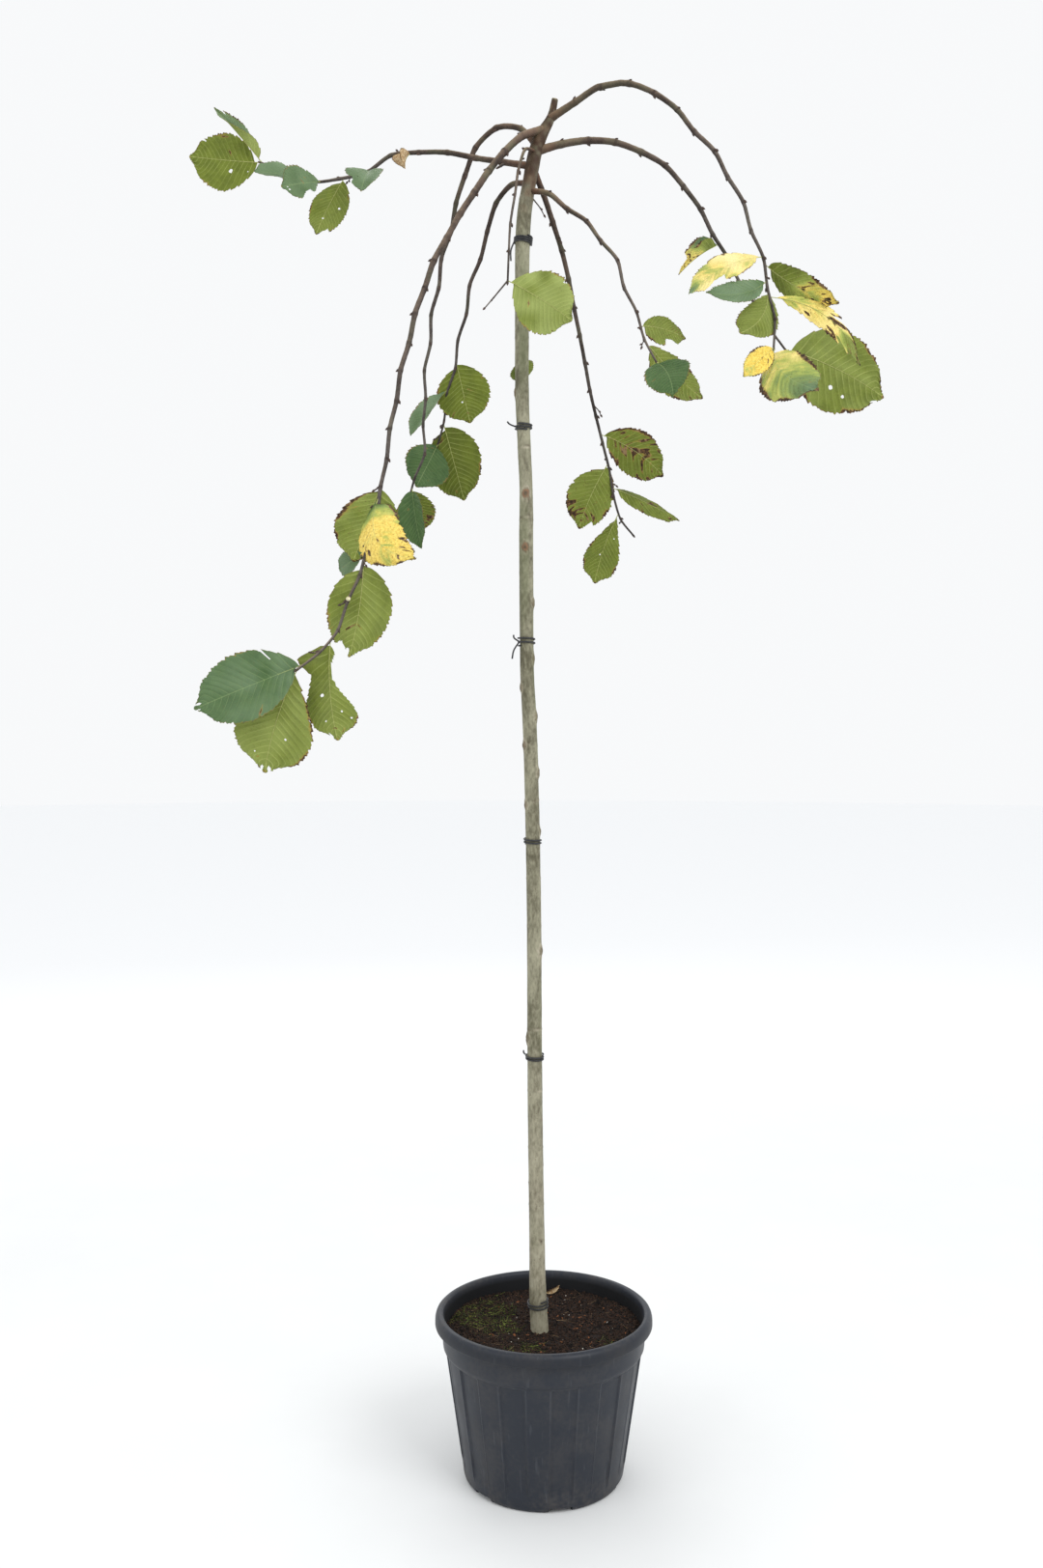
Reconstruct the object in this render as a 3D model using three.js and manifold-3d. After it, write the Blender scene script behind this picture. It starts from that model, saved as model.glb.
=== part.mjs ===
// A young weeping elm, grafted on a clear stem and grown in a round nursery pot.
// Millimetres, +Z up, origin at the centre of the pot's flat underside.
// The limbs, twigs and leaves are worked out from the named sizes below by a few rules.

import * as THREE from 'three';
import { mergeVertices } from 'three/addons/utils/BufferGeometryUtils.js';
import Module from 'manifold-3d';

const wasm = await Module();
wasm.setup();

// ---------------------------------------------------------------- driving dimensions

const CLEARANCE = 0.3; // gap between neighbours that touch
const WELD = 1e-4; // vertices closer than this are one

const POT = {
  underside: 151, // radius that the pot stands on
  foot: 159, // radius where the rounded foot meets the wall
  footRise: 9,
  shoulder: 194, // radius at the top of the fluted wall
  shoulderHeight: 254,
  band: 199, // radius of the plain band above the flutes
  collar: 215.5, // radius of the rolled collar
  collarBottom: 303,
  rim: 198, // inner radius of the mouth
  height: 328,
  wall: 4,
  floor: 14,
  panels: 12, // recessed panels round the wall
  panelSweep: 15, // degrees that one panel spans
  panelDepth: 3,
  panelBottom: 24,
  panelTurn: -79, // bearing of the first panel's middle, degrees from +X
  notches: 6, // drainage notches in the foot
  notchSweep: 17,
  notchHeight: 9,
  notchInner: 126, // how far in the notches reach
};

const SOIL = { top: 286, edgeRise: 7, flat: 60 };

// The stem's centre line and thickness: [height, sideways, diameter].
const TRUNK = [
  [270, -7, 37], [300, -9, 35], [367, -12, 33], [441, -13, 31], [637, -16, 29.5],
  [834, -18, 28.5], [1151, -20, 27.5], [1396, -25, 27], [1509, -29, 27], [1584, -33, 26.5],
  [1651, -34, 26.5], [1833, -35, 27], [1936, -35, 26], [2029, -39, 26], [2139, -43, 26.5],
  [2322, -43, 27], [2413, -42, 28.5], [2477, -38, 28], [2537, -28, 27], [2564, -23, 28],
  [2591, -17, 27], [2619, -7, 25], [2647, 9, 18.5], [2664, 15, 14.5], [2688, 20, 12.5],
];
const TRUNK_SIDES = 12;

// Healed knots on the stem: [height, bearing in degrees, radius].
const KNOTS = [
  [1045, -15, 9], [1280, 20, 9], [1395, 0, 9], [1505, -10, 9], [1618, -5, 9], [1725, 0, 9],
  [1833, -100, 10], [1936, -95, 10], [1562, 190, 8], [2130, 180, 8],
];
const KNOT_STANDS_OUT = 2.5;

// Black ties wound round the stem: height, and tails as [bearing, sideways run, rise].
const TIES = [
  { height: 341, tails: [] },
  { height: 834, tails: [[150, 14, 16]] },
  { height: 1261, tails: [] },
  { height: 1651, tails: [[185, 20, 16], [200, 24, -44]] },
  { height: 2065, tails: [[190, 20, 11]] },
  { height: 2421, tails: [[195, 8, -40]] },
];
const TIE = { cord: 4, spread: 9, edge: 1.5, sides: 12 }; // spread is the height that the turns cover

// Limbs. heading is the bearing that the limb grows on, in degrees from +X, and veer is how
// far it turns on the way. stations are [out from the stem, height]; the bends are the places,
// in millimetres along the limb, where it is split, and leafy is where its foliage begins,
// counted back from the tip. radius is [at the stem, at the tip].
const LIMBS = [
  {
    name: 'upper_right', heading: -22, veer: 0, radius: [7.5, 2.3], bends: [190, 380], leafy: 205,
    stations: [[0, 2652], [56, 2677], [116, 2700], [170, 2687], [232, 2648], [335, 2522],
      [395, 2393], [430, 2268], [436, 2172]],
  },
  {
    name: 'right', heading: 12, veer: 0, radius: [8.5, 2.3], bends: [200, 380], leafy: 275,
    stations: [[0, 2590], [35, 2603], [87, 2617], [145, 2621], [204, 2610], [263, 2580],
      [313, 2531], [382, 2425], [435, 2343], [515, 2239]],
  },
  {
    name: 'rear_left', heading: 152, veer: 0, radius: [6.5, 2.4], bends: [150, 400], leafy: 70,
    stations: [[0, 2600], [24, 2629], [60, 2653], [103, 2646], [145, 2610], [178, 2525],
      [218, 2395], [243, 2270], [257, 2150], [258, 2046], [297, 1935]],
  },
  {
    name: 'front_left', heading: 212, veer: 0, radius: [8, 2.4], bends: [200, 520], leafy: 415,
    stations: [[0, 2632], [28, 2622], [65, 2596], [131, 2520], [240, 2345], [298, 2180],
      [330, 2040], [358, 1890], [389, 1782], [449, 1645], [486, 1608], [520, 1585]],
  },
  {
    name: 'far_left', heading: 172, veer: 0, radius: [7, 2.3], bends: [], leafy: 340,
    stations: [[0, 2562], [57, 2573], [130, 2588], [215, 2603], [266, 2598], [330, 2570],
      [385, 2554], [435, 2558], [490, 2575], [542, 2598]],
  },
  {
    name: 'inner_left', heading: 130, veer: 0, radius: [6, 2.2], bends: [140], leafy: 195,
    stations: [[0, 2530], [35, 2541], [75, 2539], [106, 2514], [133, 2460], [178, 2385],
      [212, 2300], [245, 2210], [270, 2145], [298, 2070]],
  },
  {
    name: 'rear_right', heading: 50, veer: 0, radius: [6.5, 2.1], bends: [160, 330], leafy: 250,
    stations: [[0, 2562], [24, 2532], [47, 2498], [100, 2408], [126, 2335], [154, 2260],
      [187, 2160], [222, 2080], [255, 2005], [280, 1930], [338, 1889]],
  },
  {
    name: 'front_right', heading: -38, veer: 0, radius: [6, 2.1], bends: [180], leafy: 125,
    stations: [[0, 2516], [36, 2510], [54, 2496], [97, 2459], [140, 2424], [194, 2361],
      [223, 2300], [248, 2239], [295, 2143]],
  },
  {
    name: 'front', heading: -112, veer: 0, radius: [3.4, 2], bends: [95], leafy: 20,
    stations: [[0, 2590], [30, 2588], [52, 2576], [67, 2555], [85, 2528], [103, 2480],
      [125, 2415], [138, 2345], [140, 2302]],
  },
  {
    name: 'back', heading: 93, veer: 2, radius: [5, 2], bends: [120], leafy: 110,
    stations: [[0, 2540], [45, 2538], [100, 2505], [155, 2420], [188, 2330], [200, 2240]],
  },
];
const INTERNODE = 56; // length of shoot between two buds
const ZIGZAG = 3.2; // how far a bud stands off the shoot's run
const ZIGZAG_TURN = 35; // degrees between the zigzag's plane and the limb's own
const SHOOT_TENSION = 0.25; // low, so that the shoot runs nearly straight from bud to bud
const LIMB_SIDES = 6;
const COLLAR_SWELL = 0.3; // how much a limb thickens at the stem
const COLLAR_REACH = 18;

// Short bare twigs: where they leave their limb, counted back from its tip, and their run.
const BARE_TWIGS = [
  { limb: 'front', back: 4, run: [-42, -8, -52], radius: 1.8 },
  { limb: 'rear_right', back: 300, run: [16, 6, -20], radius: 1.8 },
];

// Leaves of each limb: where a leaf leaves it, counted back from its tip, the leaf's run from
// there to its point, its width and the share of the blade where it is widest. face turns the
// blade about its midrib: at 0 its upper side looks to the front (-Y), at 180 its underside
// does. twist turns it further on the way to the point, bend arches the midrib (in degrees),
// bow shifts its middle sideways, fold lifts both halves and cup curls the margins up.
const leafOf = (back, tip, width, full, face, twist, bend, bow, fold, cup) => ({
  back, tip, width, full, face, twist, bend, bow, fold, cup,
});
const LEAVES = {
  far_left: [
    leafOf(2, [-145, 15, 18], 114, 0.5, 178, 0, 12, 0, 6, 8),
    leafOf(6, [-90, -25, 98], 50, 0.42, 125, -215, 6, 0, 50, 10),
    leafOf(95, [-90, -45, -2], 64, 0.5, 42, 0, 14, 0, 8, 14),
    leafOf(132, [-68, -62, -32], 72, 0.6, -2, 0, 16, 0, 8, 8),
    leafOf(180, [-54, -15, -114], 74, 0.48, 186, 0, 12, -4, 8, 6),
    leafOf(232, [-8, -82, -70], 78, 0.5, 5, 0, 35, 0, 16, 10),
    leafOf(322, [-10, -14, -36], 54, 0.5, 60, 0, 60, 0, 20, 70),
  ],
  front_left: [
    leafOf(392, [-50, -10, -140], 122, 0.5, 184, 0, 12, 0, 5, 10),
    leafOf(372, [76, -62, -128], 100, 0.38, 10, 0, 25, 42, -12, -25),
    leafOf(262, [-55, 60, -25], 44, 0.55, 10, 0, 20, 0, 10, 10),
    leafOf(248, [-25, -20, -175], 118, 0.44, 180, -8, 10, 5, 6, 6),
    leafOf(86, [15, -25, -178], 104, 0.6, 190, 0, 14, -9, 8, 8),
    leafOf(20, [-190, -30, -80], 124, 0.38, 4, 0, 14, 0, 6, 6),
    leafOf(2, [-62, 20, -182], 142, 0.62, 178, 0, 10, -8, 4, 6),
  ],
  rear_left: [
    leafOf(38, [20, -8, -125], 74, 0.55, 50, 0, 16, 0, 16, 8),
    leafOf(34, [15, 60, -80], 78, 0.55, 180, 0, 14, 0, 6, 6),
    leafOf(2, [-50, 65, -70], 72, 0.55, 150, 0, 14, 0, 8, 6),
  ],
  inner_left: [
    leafOf(178, [28, 25, -120], 114, 0.48, 178, 0, 12, 0, 5, 6),
    leafOf(120, [-80, 15, -92], 60, 0.6, 46, 0, 22, 0, 14, 10),
    leafOf(50, [42, 20, -156], 118, 0.44, 182, 0, 12, 0, 5, 6),
    leafOf(6, [-42, -55, -98], 100, 0.52, -12, 0, 16, 0, 6, 8),
  ],
  rear_right: [
    leafOf(238, [130, 10, -84], 96, 0.5, 178, 0, 12, 12, 5, 8),
    leafOf(175, [-60, -10, -135], 98, 0.48, 174, 0, 14, -5, 6, 8),
    leafOf(125, [142, 15, -66], 62, 0.46, 130, 0, 14, 13, 10, 8),
    leafOf(68, [-50, -10, -146], 76, 0.58, 190, 0, 12, -6, 8, 8),
  ],
  front_right: [
    leafOf(80, [84, 15, -18], 62, 0.45, 160, 0, 20, 10, 6, 8),
    leafOf(45, [104, 10, -98], 82, 0.5, 155, 0, 22, 0, 8, 8),
    leafOf(2, [22, -85, -80], 84, 0.5, 10, 0, 26, -8, 6, 8),
  ],
  front: [
    leafOf(4, [118, -10, -76], 118, 0.52, 180, 0, 10, 4, 5, 6),
  ],
  right: [
    leafOf(248, [-82, -20, -66], 60, 0.3, 58, 0, 28, 0, 45, 30),
    leafOf(2, [202, 15, -92], 168, 0.46, 180, 0, 12, 12, 5, 8),
  ],
  upper_right: [
    leafOf(172, [-138, -25, -74], 88, 0.5, 40, 0, 50, 0, 8, -15),
    leafOf(158, [132, -20, -76], 60, 0.42, -128, 0, 20, -14, 8, -12),
    leafOf(126, [-116, -45, -34], 52, 0.5, 25, 0, 14, -20, 6, 8),
    leafOf(112, [-52, -15, -84], 74, 0.55, 180, 0, 14, 18, 8, 6),
    leafOf(96, [160, -25, -130], 31, 0.5, 195, -50, 14, 40, 10, 12),
    leafOf(4, [-64, -40, -40], 42, 0.5, 0, 0, 20, 0, 8, 8),
    leafOf(2, [80, -100, -100], 98, 0.42, 12, 0, 30, 22, -8, -14),
  ],
  back: [
    leafOf(90, [2, 95, -50], 74, 0.55, 88, 0, 18, 0, 8, 6),
    leafOf(45, [2, 60, -105], 70, 0.55, 92, 0, 14, 0, 8, 6),
    leafOf(2, [8, 80, -22], 56, 0.55, 172, 0, 14, 0, 6, 6),
  ],
};
const LEAF = {
  stalk: 0.05, // share of the leaf's length that is stalk
  stalkRadius: 2,
  rows: [0, 0.05, 0.16, 0.36, 0.6, 0.84, 1], // places along a leaf that shape it
  pointWidth: 2.4, // the point is cut off at this width
  slenderness: 90, // length over thickness
  thinnest: 1.6,
};
const SPACE = 265; // a mass keeps within this distance of its own shoot
const SPUR = { chance: 0.5, length: 14, radius: 1.6 };
const SEED = 41;

// ---------------------------------------------------------------- colours

const FINISHES = {
  pot: { color: 0x34383d, roughness: 0.55, metalness: 0 },
  soil: { color: 0x2b1d14, roughness: 1, metalness: 0 },
  stem: { color: 0x8b8670, roughness: 0.8, metalness: 0 },
  limb: { color: 0x6d5f54, roughness: 0.8, metalness: 0 },
  tie: { color: 0x17181a, roughness: 0.5, metalness: 0 },
  foliage: { color: 0x74863a, roughness: 0.7, metalness: 0 },
};
const MATERIALS = Object.fromEntries(
  Object.entries(FINISHES).map(([key, finish]) => [key, new THREE.MeshStandardMaterial(finish)]),
);

// ---------------------------------------------------------------- small helpers

const UP = new THREE.Vector3(0, 0, 1);
const FRONT = new THREE.Vector3(0, -1, 0);
const radians = THREE.MathUtils.degToRad;
const vec = (x, y, z) => new THREE.Vector3(x, y, z);
const bearing = (degrees) => vec(Math.cos(radians(degrees)), Math.sin(radians(degrees)), 0);
const smooth = (x, from, to) => THREE.MathUtils.smoothstep(x, from, to);

// A repeatable stream of numbers from 0 to 1.
function randomStream(seed) {
  let state = seed >>> 0;
  return () => {
    state = (state + 0x6d2b79f5) >>> 0;
    let mixed = Math.imul(state ^ (state >>> 15), state | 1);
    mixed ^= mixed + Math.imul(mixed ^ (mixed >>> 7), mixed | 61);
    return ((mixed ^ (mixed >>> 14)) >>> 0) / 4294967296;
  };
}

function geometryOf(points, triangles) {
  const geometry = new THREE.BufferGeometry();
  const positions = new Float32Array(points.flatMap((p) => [p.x, p.y, p.z]));
  geometry.setAttribute('position', new THREE.BufferAttribute(positions, 3));
  geometry.setIndex(triangles.flat());
  return geometry;
}

function solidOf(geometry) {
  const bare = geometry.clone();
  bare.deleteAttribute('normal');
  bare.deleteAttribute('uv');
  const merged = mergeVertices(bare, WELD);
  return new wasm.Manifold(new wasm.Mesh({
    numProp: 3,
    vertProperties: new Float32Array(merged.attributes.position.array),
    triVerts: new Uint32Array(merged.index.array),
  }));
}

const join = (solids) => solids.reduce((whole, solid) => whole.add(solid));

// The largest separate body of a solid; loose scraps are dropped.
function largestBody(solid) {
  const bodies = solid.decompose();
  return bodies.reduce((best, body) => (body.volume() > best.volume() ? body : best));
}

function meshOf(solid, name, material) {
  const data = largestBody(solid).getMesh();
  const geometry = new THREE.BufferGeometry();
  geometry.setAttribute('position', new THREE.BufferAttribute(data.vertProperties, 3));
  geometry.setIndex(new THREE.BufferAttribute(data.triVerts, 1));
  geometry.computeVertexNormals();
  const mesh = new THREE.Mesh(geometry, material);
  mesh.name = name;
  return mesh;
}

// A closed tube through the centres, with one radius each; across fixes how its sides lie.
function tube(centres, radii, tangents, across, sides) {
  const points = [];
  centres.forEach((centre, i) => {
    const tangent = tangents[i].clone().normalize();
    const first = across.clone().addScaledVector(tangent, -across.dot(tangent)).normalize();
    const second = tangent.clone().cross(first);
    for (let k = 0; k < sides; k += 1) {
      const turn = (2 * Math.PI * k) / sides;
      points.push(centre.clone()
        .addScaledVector(first, radii[i] * Math.cos(turn))
        .addScaledVector(second, radii[i] * Math.sin(turn)));
    }
  });
  const triangles = [];
  for (let i = 0; i + 1 < centres.length; i += 1) {
    for (let k = 0; k < sides; k += 1) {
      const a = i * sides + k;
      const b = i * sides + ((k + 1) % sides);
      triangles.push([a, b, b + sides], [a, b + sides, a + sides]);
    }
  }
  const last = (centres.length - 1) * sides;
  for (let k = 1; k + 1 < sides; k += 1) {
    triangles.push([0, k + 1, k], [last, last + k, last + k + 1]);
  }
  return geometryOf(points, triangles);
}

function chordTangents(centres) {
  return centres.map((_, i) => centres[Math.min(i + 1, centres.length - 1)].clone()
    .sub(centres[Math.max(i - 1, 0)]));
}

function sidewaysOf(direction) {
  const other = Math.abs(direction.clone().normalize().z) < 0.8 ? UP : FRONT;
  return direction.clone().cross(other).normalize();
}

function straightTube(from, to, radiusFrom, radiusTo, sides) {
  const run = to.clone().sub(from);
  return tube([from, to], [radiusFrom, radiusTo], [run, run], sidewaysOf(run), sides);
}

// ---------------------------------------------------------------- pot and soil

// Bearings of the corners of the recessed panels, which every ring of the pot shares.
function panelCorners() {
  const corners = [];
  for (let i = 0; i < POT.panels; i += 1) {
    const middle = POT.panelTurn + (360 / POT.panels) * i;
    const half = POT.panelSweep / 2;
    corners.push({ angle: middle - half - 0.6, inside: false });
    corners.push({ angle: middle - half + 0.6, inside: true });
    corners.push({ angle: middle + half - 0.6, inside: true });
    corners.push({ angle: middle + half + 0.6, inside: false });
  }
  return corners;
}

// Turns a profile of [radius, height, depth of the panels] round Z, closed on the axis.
function turned(profile) {
  const corners = panelCorners();
  const points = [vec(0, 0, profile[0][1])];
  for (const [radius, height, depth] of profile) {
    for (const corner of corners) {
      const r = corner.inside ? radius - depth : radius;
      points.push(bearing(corner.angle).multiplyScalar(r).setZ(height));
    }
  }
  points.push(vec(0, 0, profile[profile.length - 1][1]));
  const count = corners.length;
  const triangles = [];
  for (let k = 0; k < count; k += 1) {
    const next = (k + 1) % count;
    triangles.push([0, 1 + next, 1 + k]);
    for (let row = 0; row + 1 < profile.length; row += 1) {
      const a = 1 + row * count + k;
      const b = 1 + row * count + next;
      triangles.push([a, b, b + count], [a, b + count, a + count]);
    }
    const top = 1 + (profile.length - 1) * count;
    triangles.push([points.length - 1, top + k, top + next]);
  }
  return geometryOf(points, triangles);
}

// Radius of the pot's inner wall at a height above the floor.
function innerRadius(height) {
  const share = (height - POT.floor) / (POT.shoulderHeight - POT.floor);
  const bottom = POT.foot - POT.wall - POT.panelDepth;
  const shoulder = POT.shoulder - POT.wall - POT.panelDepth;
  return share < 1
    ? THREE.MathUtils.lerp(bottom, shoulder, share)
    : THREE.MathUtils.mapLinear(height, POT.shoulderHeight, POT.height, shoulder, POT.rim);
}

function potSolid() {
  const p = POT;
  const taper = (height) => THREE.MathUtils.mapLinear(
    height, p.footRise, p.shoulderHeight, p.foot, p.shoulder,
  );
  const body = solidOf(turned([
    [p.underside, 0, 0],
    [p.foot, p.footRise, 0],
    [taper(p.panelBottom), p.panelBottom, 0],
    [taper(p.panelBottom + 14), p.panelBottom + 14, p.panelDepth],
    [taper(p.shoulderHeight - 5), p.shoulderHeight - 5, p.panelDepth],
    [p.shoulder + 1, p.shoulderHeight, 0],
    [p.band, p.shoulderHeight + 6, 0],
    [p.band + 3, p.collarBottom + 1, 0],
    [p.collar, p.collarBottom, 0],
    [p.collar - 1, p.height - 9, 0],
    [p.collar - 7, p.height, 0],
    [p.rim, p.height - 2, 0],
    [innerRadius(p.shoulderHeight), p.shoulderHeight, 0],
    [innerRadius(p.floor), p.floor, 0],
  ]));
  const notches = [];
  const depth = p.foot + 10 - p.notchInner;
  const width = 2 * p.underside * Math.sin(radians(p.notchSweep / 2));
  for (let i = 0; i < p.notches; i += 1) {
    const notch = new THREE.BoxGeometry(depth, width, 2 * p.notchHeight);
    notch.translate(p.notchInner + depth / 2, 0, 0);
    notch.rotateZ(radians(p.panelTurn + (360 / p.notches) * i));
    notches.push(solidOf(notch));
  }
  return body.subtract(join(notches));
}

function soilSolid() {
  const gap = CLEARANCE;
  const edge = SOIL.top + SOIL.edgeRise;
  return solidOf(turned([
    [innerRadius(POT.floor) - gap, POT.floor + gap, 0],
    [innerRadius(POT.shoulderHeight) - gap, POT.shoulderHeight, 0],
    [innerRadius(edge) - 2 * gap, edge, 0],
    [(SOIL.flat + POT.rim) / 2, SOIL.top + SOIL.edgeRise / 2, 0],
    [SOIL.flat, SOIL.top, 0],
  ]));
}

// ---------------------------------------------------------------- trunk and ties

// The stem's centre and radius at a height.
function trunkAt(height) {
  const last = TRUNK.length - 1;
  let i = 0;
  while (i < last - 1 && TRUNK[i + 1][0] < height) i += 1;
  const [lowHeight, lowSide, lowWidth] = TRUNK[i];
  const [highHeight, highSide, highWidth] = TRUNK[i + 1];
  const share = THREE.MathUtils.clamp((height - lowHeight) / (highHeight - lowHeight), 0, 1);
  return {
    centre: vec(THREE.MathUtils.lerp(lowSide, highSide, share), 0, height),
    radius: THREE.MathUtils.lerp(lowWidth, highWidth, share) / 2,
  };
}

function stemTube(extra) {
  const centres = TRUNK.map(([height, side]) => vec(side, 0, height));
  const radii = TRUNK.map(([, , width]) => width / 2 + extra);
  if (extra > 0) centres[centres.length - 1].z += extra;
  return solidOf(tube(centres, radii, chordTangents(centres), FRONT, TRUNK_SIDES));
}

function knotSolids(extra) {
  return KNOTS.map(([height, degrees, radius]) => {
    const stem = trunkAt(height);
    const out = stem.radius + KNOT_STANDS_OUT - radius;
    const centre = stem.centre.addScaledVector(bearing(degrees), out);
    const knot = new THREE.SphereGeometry(radius + extra, 6, 4);
    knot.scale(1, 1, 1.25);
    knot.translate(centre.x, centre.y, centre.z);
    return solidOf(knot);
  });
}

function trunkSolid() {
  return join([stemTube(0), ...knotSolids(0)]).trimByPlane([0, 0, 1], SOIL.top + CLEARANCE);
}

// Everything that a limb or a tie has to stay clear of on the stem.
const stemKeepOut = join([stemTube(CLEARANCE), ...knotSolids(2 * CLEARANCE)]);

function tieSolid({ height, tails }) {
  const { centre, radius } = trunkAt(height);
  const { cord, spread, edge, sides } = TIE;
  const outer = radius + cord;
  const half = spread / 2;
  const profile = [
    [0, -half], [outer - edge, -half], [outer, edge - half],
    [outer, half - edge], [outer - edge, half], [0, half],
  ];
  const lathe = new THREE.LatheGeometry(profile.map(([r, z]) => new THREE.Vector2(r, z)), sides);
  lathe.rotateX(Math.PI / 2);
  lathe.translate(centre.x, 0, height);
  const parts = [solidOf(lathe)];
  for (const [degrees, run, rise] of tails) {
    const out = bearing(degrees);
    const root = centre.clone().addScaledVector(out, radius + cord / 2);
    const end = root.clone().addScaledVector(out, run / 2).add(vec(-run / 2, 0, rise));
    parts.push(solidOf(straightTube(root, end, cord / 2, cord / 2, 5)));
  }
  return join(parts).subtract(stemKeepOut);
}

// ---------------------------------------------------------------- limbs

// A limb's centre line: smooth through its stations, then bent a little at every bud.
function limbPath(limb) {
  const { heading, veer, stations } = limb;
  const foot = trunkAt(stations[0][1]).centre;
  const furthest = Math.max(...stations.map(([out]) => out));
  const run = new THREE.CatmullRomCurve3(stations.map(([out, height]) => foot.clone()
    .addScaledVector(bearing(heading + (veer * out) / furthest), out).setZ(height)),
  false, 'catmullrom', 0.5);
  const across = bearing(heading + 90);
  const count = Math.round(run.getLength() / INTERNODE);
  const buds = [];
  for (let i = 0; i <= count; i += 1) {
    const share = i / count;
    const inPlane = run.getTangentAt(share).cross(across).normalize();
    const sway = inPlane.multiplyScalar(Math.cos(radians(ZIGZAG_TURN)))
      .addScaledVector(across, Math.sin(radians(ZIGZAG_TURN)));
    const amount = ZIGZAG * (i % 2 ? 1 : -1) * smooth(share, 0.12, 0.45) * (i < count ? 1 : 0);
    buds.push(run.getPointAt(share).addScaledVector(sway, amount));
  }
  const curve = new THREE.CatmullRomCurve3(buds, false, 'catmullrom', SHOOT_TENSION);
  curve.arcLengthDivisions = 40 * count;
  return { ...limb, curve, across, count, length: curve.getLength() };
}

const limbs = LIMBS.map(limbPath);

function radiusAlong(limb, distance) {
  const [thick, thin] = limb.radius;
  const share = (distance / limb.length) ** 0.8;
  return THREE.MathUtils.lerp(thick, thin, share) * (1 + COLLAR_SWELL * Math.exp(-distance / COLLAR_REACH));
}

// The stretch of a limb between two distances along it, as a closed tapering tube.
function limbStretch(limb, from, to) {
  const step = INTERNODE / 2;
  const places = [from];
  for (let place = Math.ceil(from / step) * step; place < to - step / 4; place += step) {
    if (place > from + step / 4) places.push(place);
  }
  places.push(to);
  const share = (place) => THREE.MathUtils.clamp(place / limb.length, 0, 1);
  return solidOf(tube(
    places.map((place) => limb.curve.getPointAt(share(place))),
    places.map((place) => radiusAlong(limb, place)),
    places.map((place) => limb.curve.getTangentAt(share(place))),
    limb.across,
    LIMB_SIDES,
  ));
}

// A limb is split at its bends and ends where its foliage begins.
function limbMeshes(limb) {
  const leafyFrom = limb.length - limb.leafy;
  const cuts = [0, ...limb.bends, leafyFrom];
  const meshes = [];
  for (let i = 0; i + 1 < cuts.length; i += 1) {
    const from = cuts[i] + (i ? CLEARANCE : 0);
    const to = cuts[i + 1] - (i + 2 === cuts.length ? CLEARANCE : 0);
    const stretch = limbStretch(limb, from, to);
    const solid = i ? stretch : stretch.subtract(stemKeepOut);
    meshes.push(meshOf(solid, `bough_${limb.name}_${i + 1}`, MATERIALS.limb));
  }
  return meshes;
}

// ---------------------------------------------------------------- foliage

// Half the blade's width at a share of its length: broad, drawn out into a short point, with
// one side starting further up the stalk.
function bladeHalfWidth(share, side, full) {
  const start = side > 0 ? 0 : 0.05;
  const u = Math.max(0, (share - start) / (1 - start));
  const body = Math.sin(Math.PI * u ** (Math.log(0.5) / Math.log(full))) ** 0.62;
  const point = 1 - 0.5 * smooth(u, 0.84, 0.96);
  return u >= 1 ? 0 : 0.5 * body * point;
}

// A frame for a leaf: its run, its upper side and its side, at a share of its length.
function leafFrame(leaf) {
  const run = vec(...leaf.tip);
  const along = run.clone().normalize();
  const facing = FRONT.clone().addScaledVector(along, -FRONT.dot(along)).normalize();
  return (share) => {
    const turn = radians(leaf.face + leaf.twist * share);
    const upper = facing.clone().applyAxisAngle(along, turn);
    return { along, upper, side: along.clone().cross(upper) };
  };
}

// A point of the leaf: share runs along its midrib and across from -1 to 1 over the blade.
function leafPoint(leaf, root, share, across) {
  const length = vec(...leaf.tip).length();
  const { along, upper, side } = leafFrame(leaf)(share);
  const middle = leafFrame(leaf)(0.5);
  const parabola = 4 * share * (1 - share);
  const arch = (length / 2) * Math.tan(radians(leaf.bend) / 4) * parabola;
  const blade = Math.max(0, (share - LEAF.stalk) / (1 - LEAF.stalk));
  const least = share < 0.5 ? LEAF.stalkRadius : LEAF.pointWidth / 2;
  const half = Math.max(leaf.width * bladeHalfWidth(blade, Math.sign(across), leaf.full), least);
  const reach = Math.abs(across);
  const angle = radians(leaf.fold + (leaf.cup * reach) / 2);
  return root.clone()
    .addScaledVector(along, length * share)
    .addScaledVector(middle.upper, arch)
    .addScaledVector(middle.side, leaf.bow * parabola)
    .addScaledVector(side, Math.sign(across) * half * reach * Math.cos(angle))
    .addScaledVector(upper, half * reach * Math.sin(angle));
}

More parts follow.
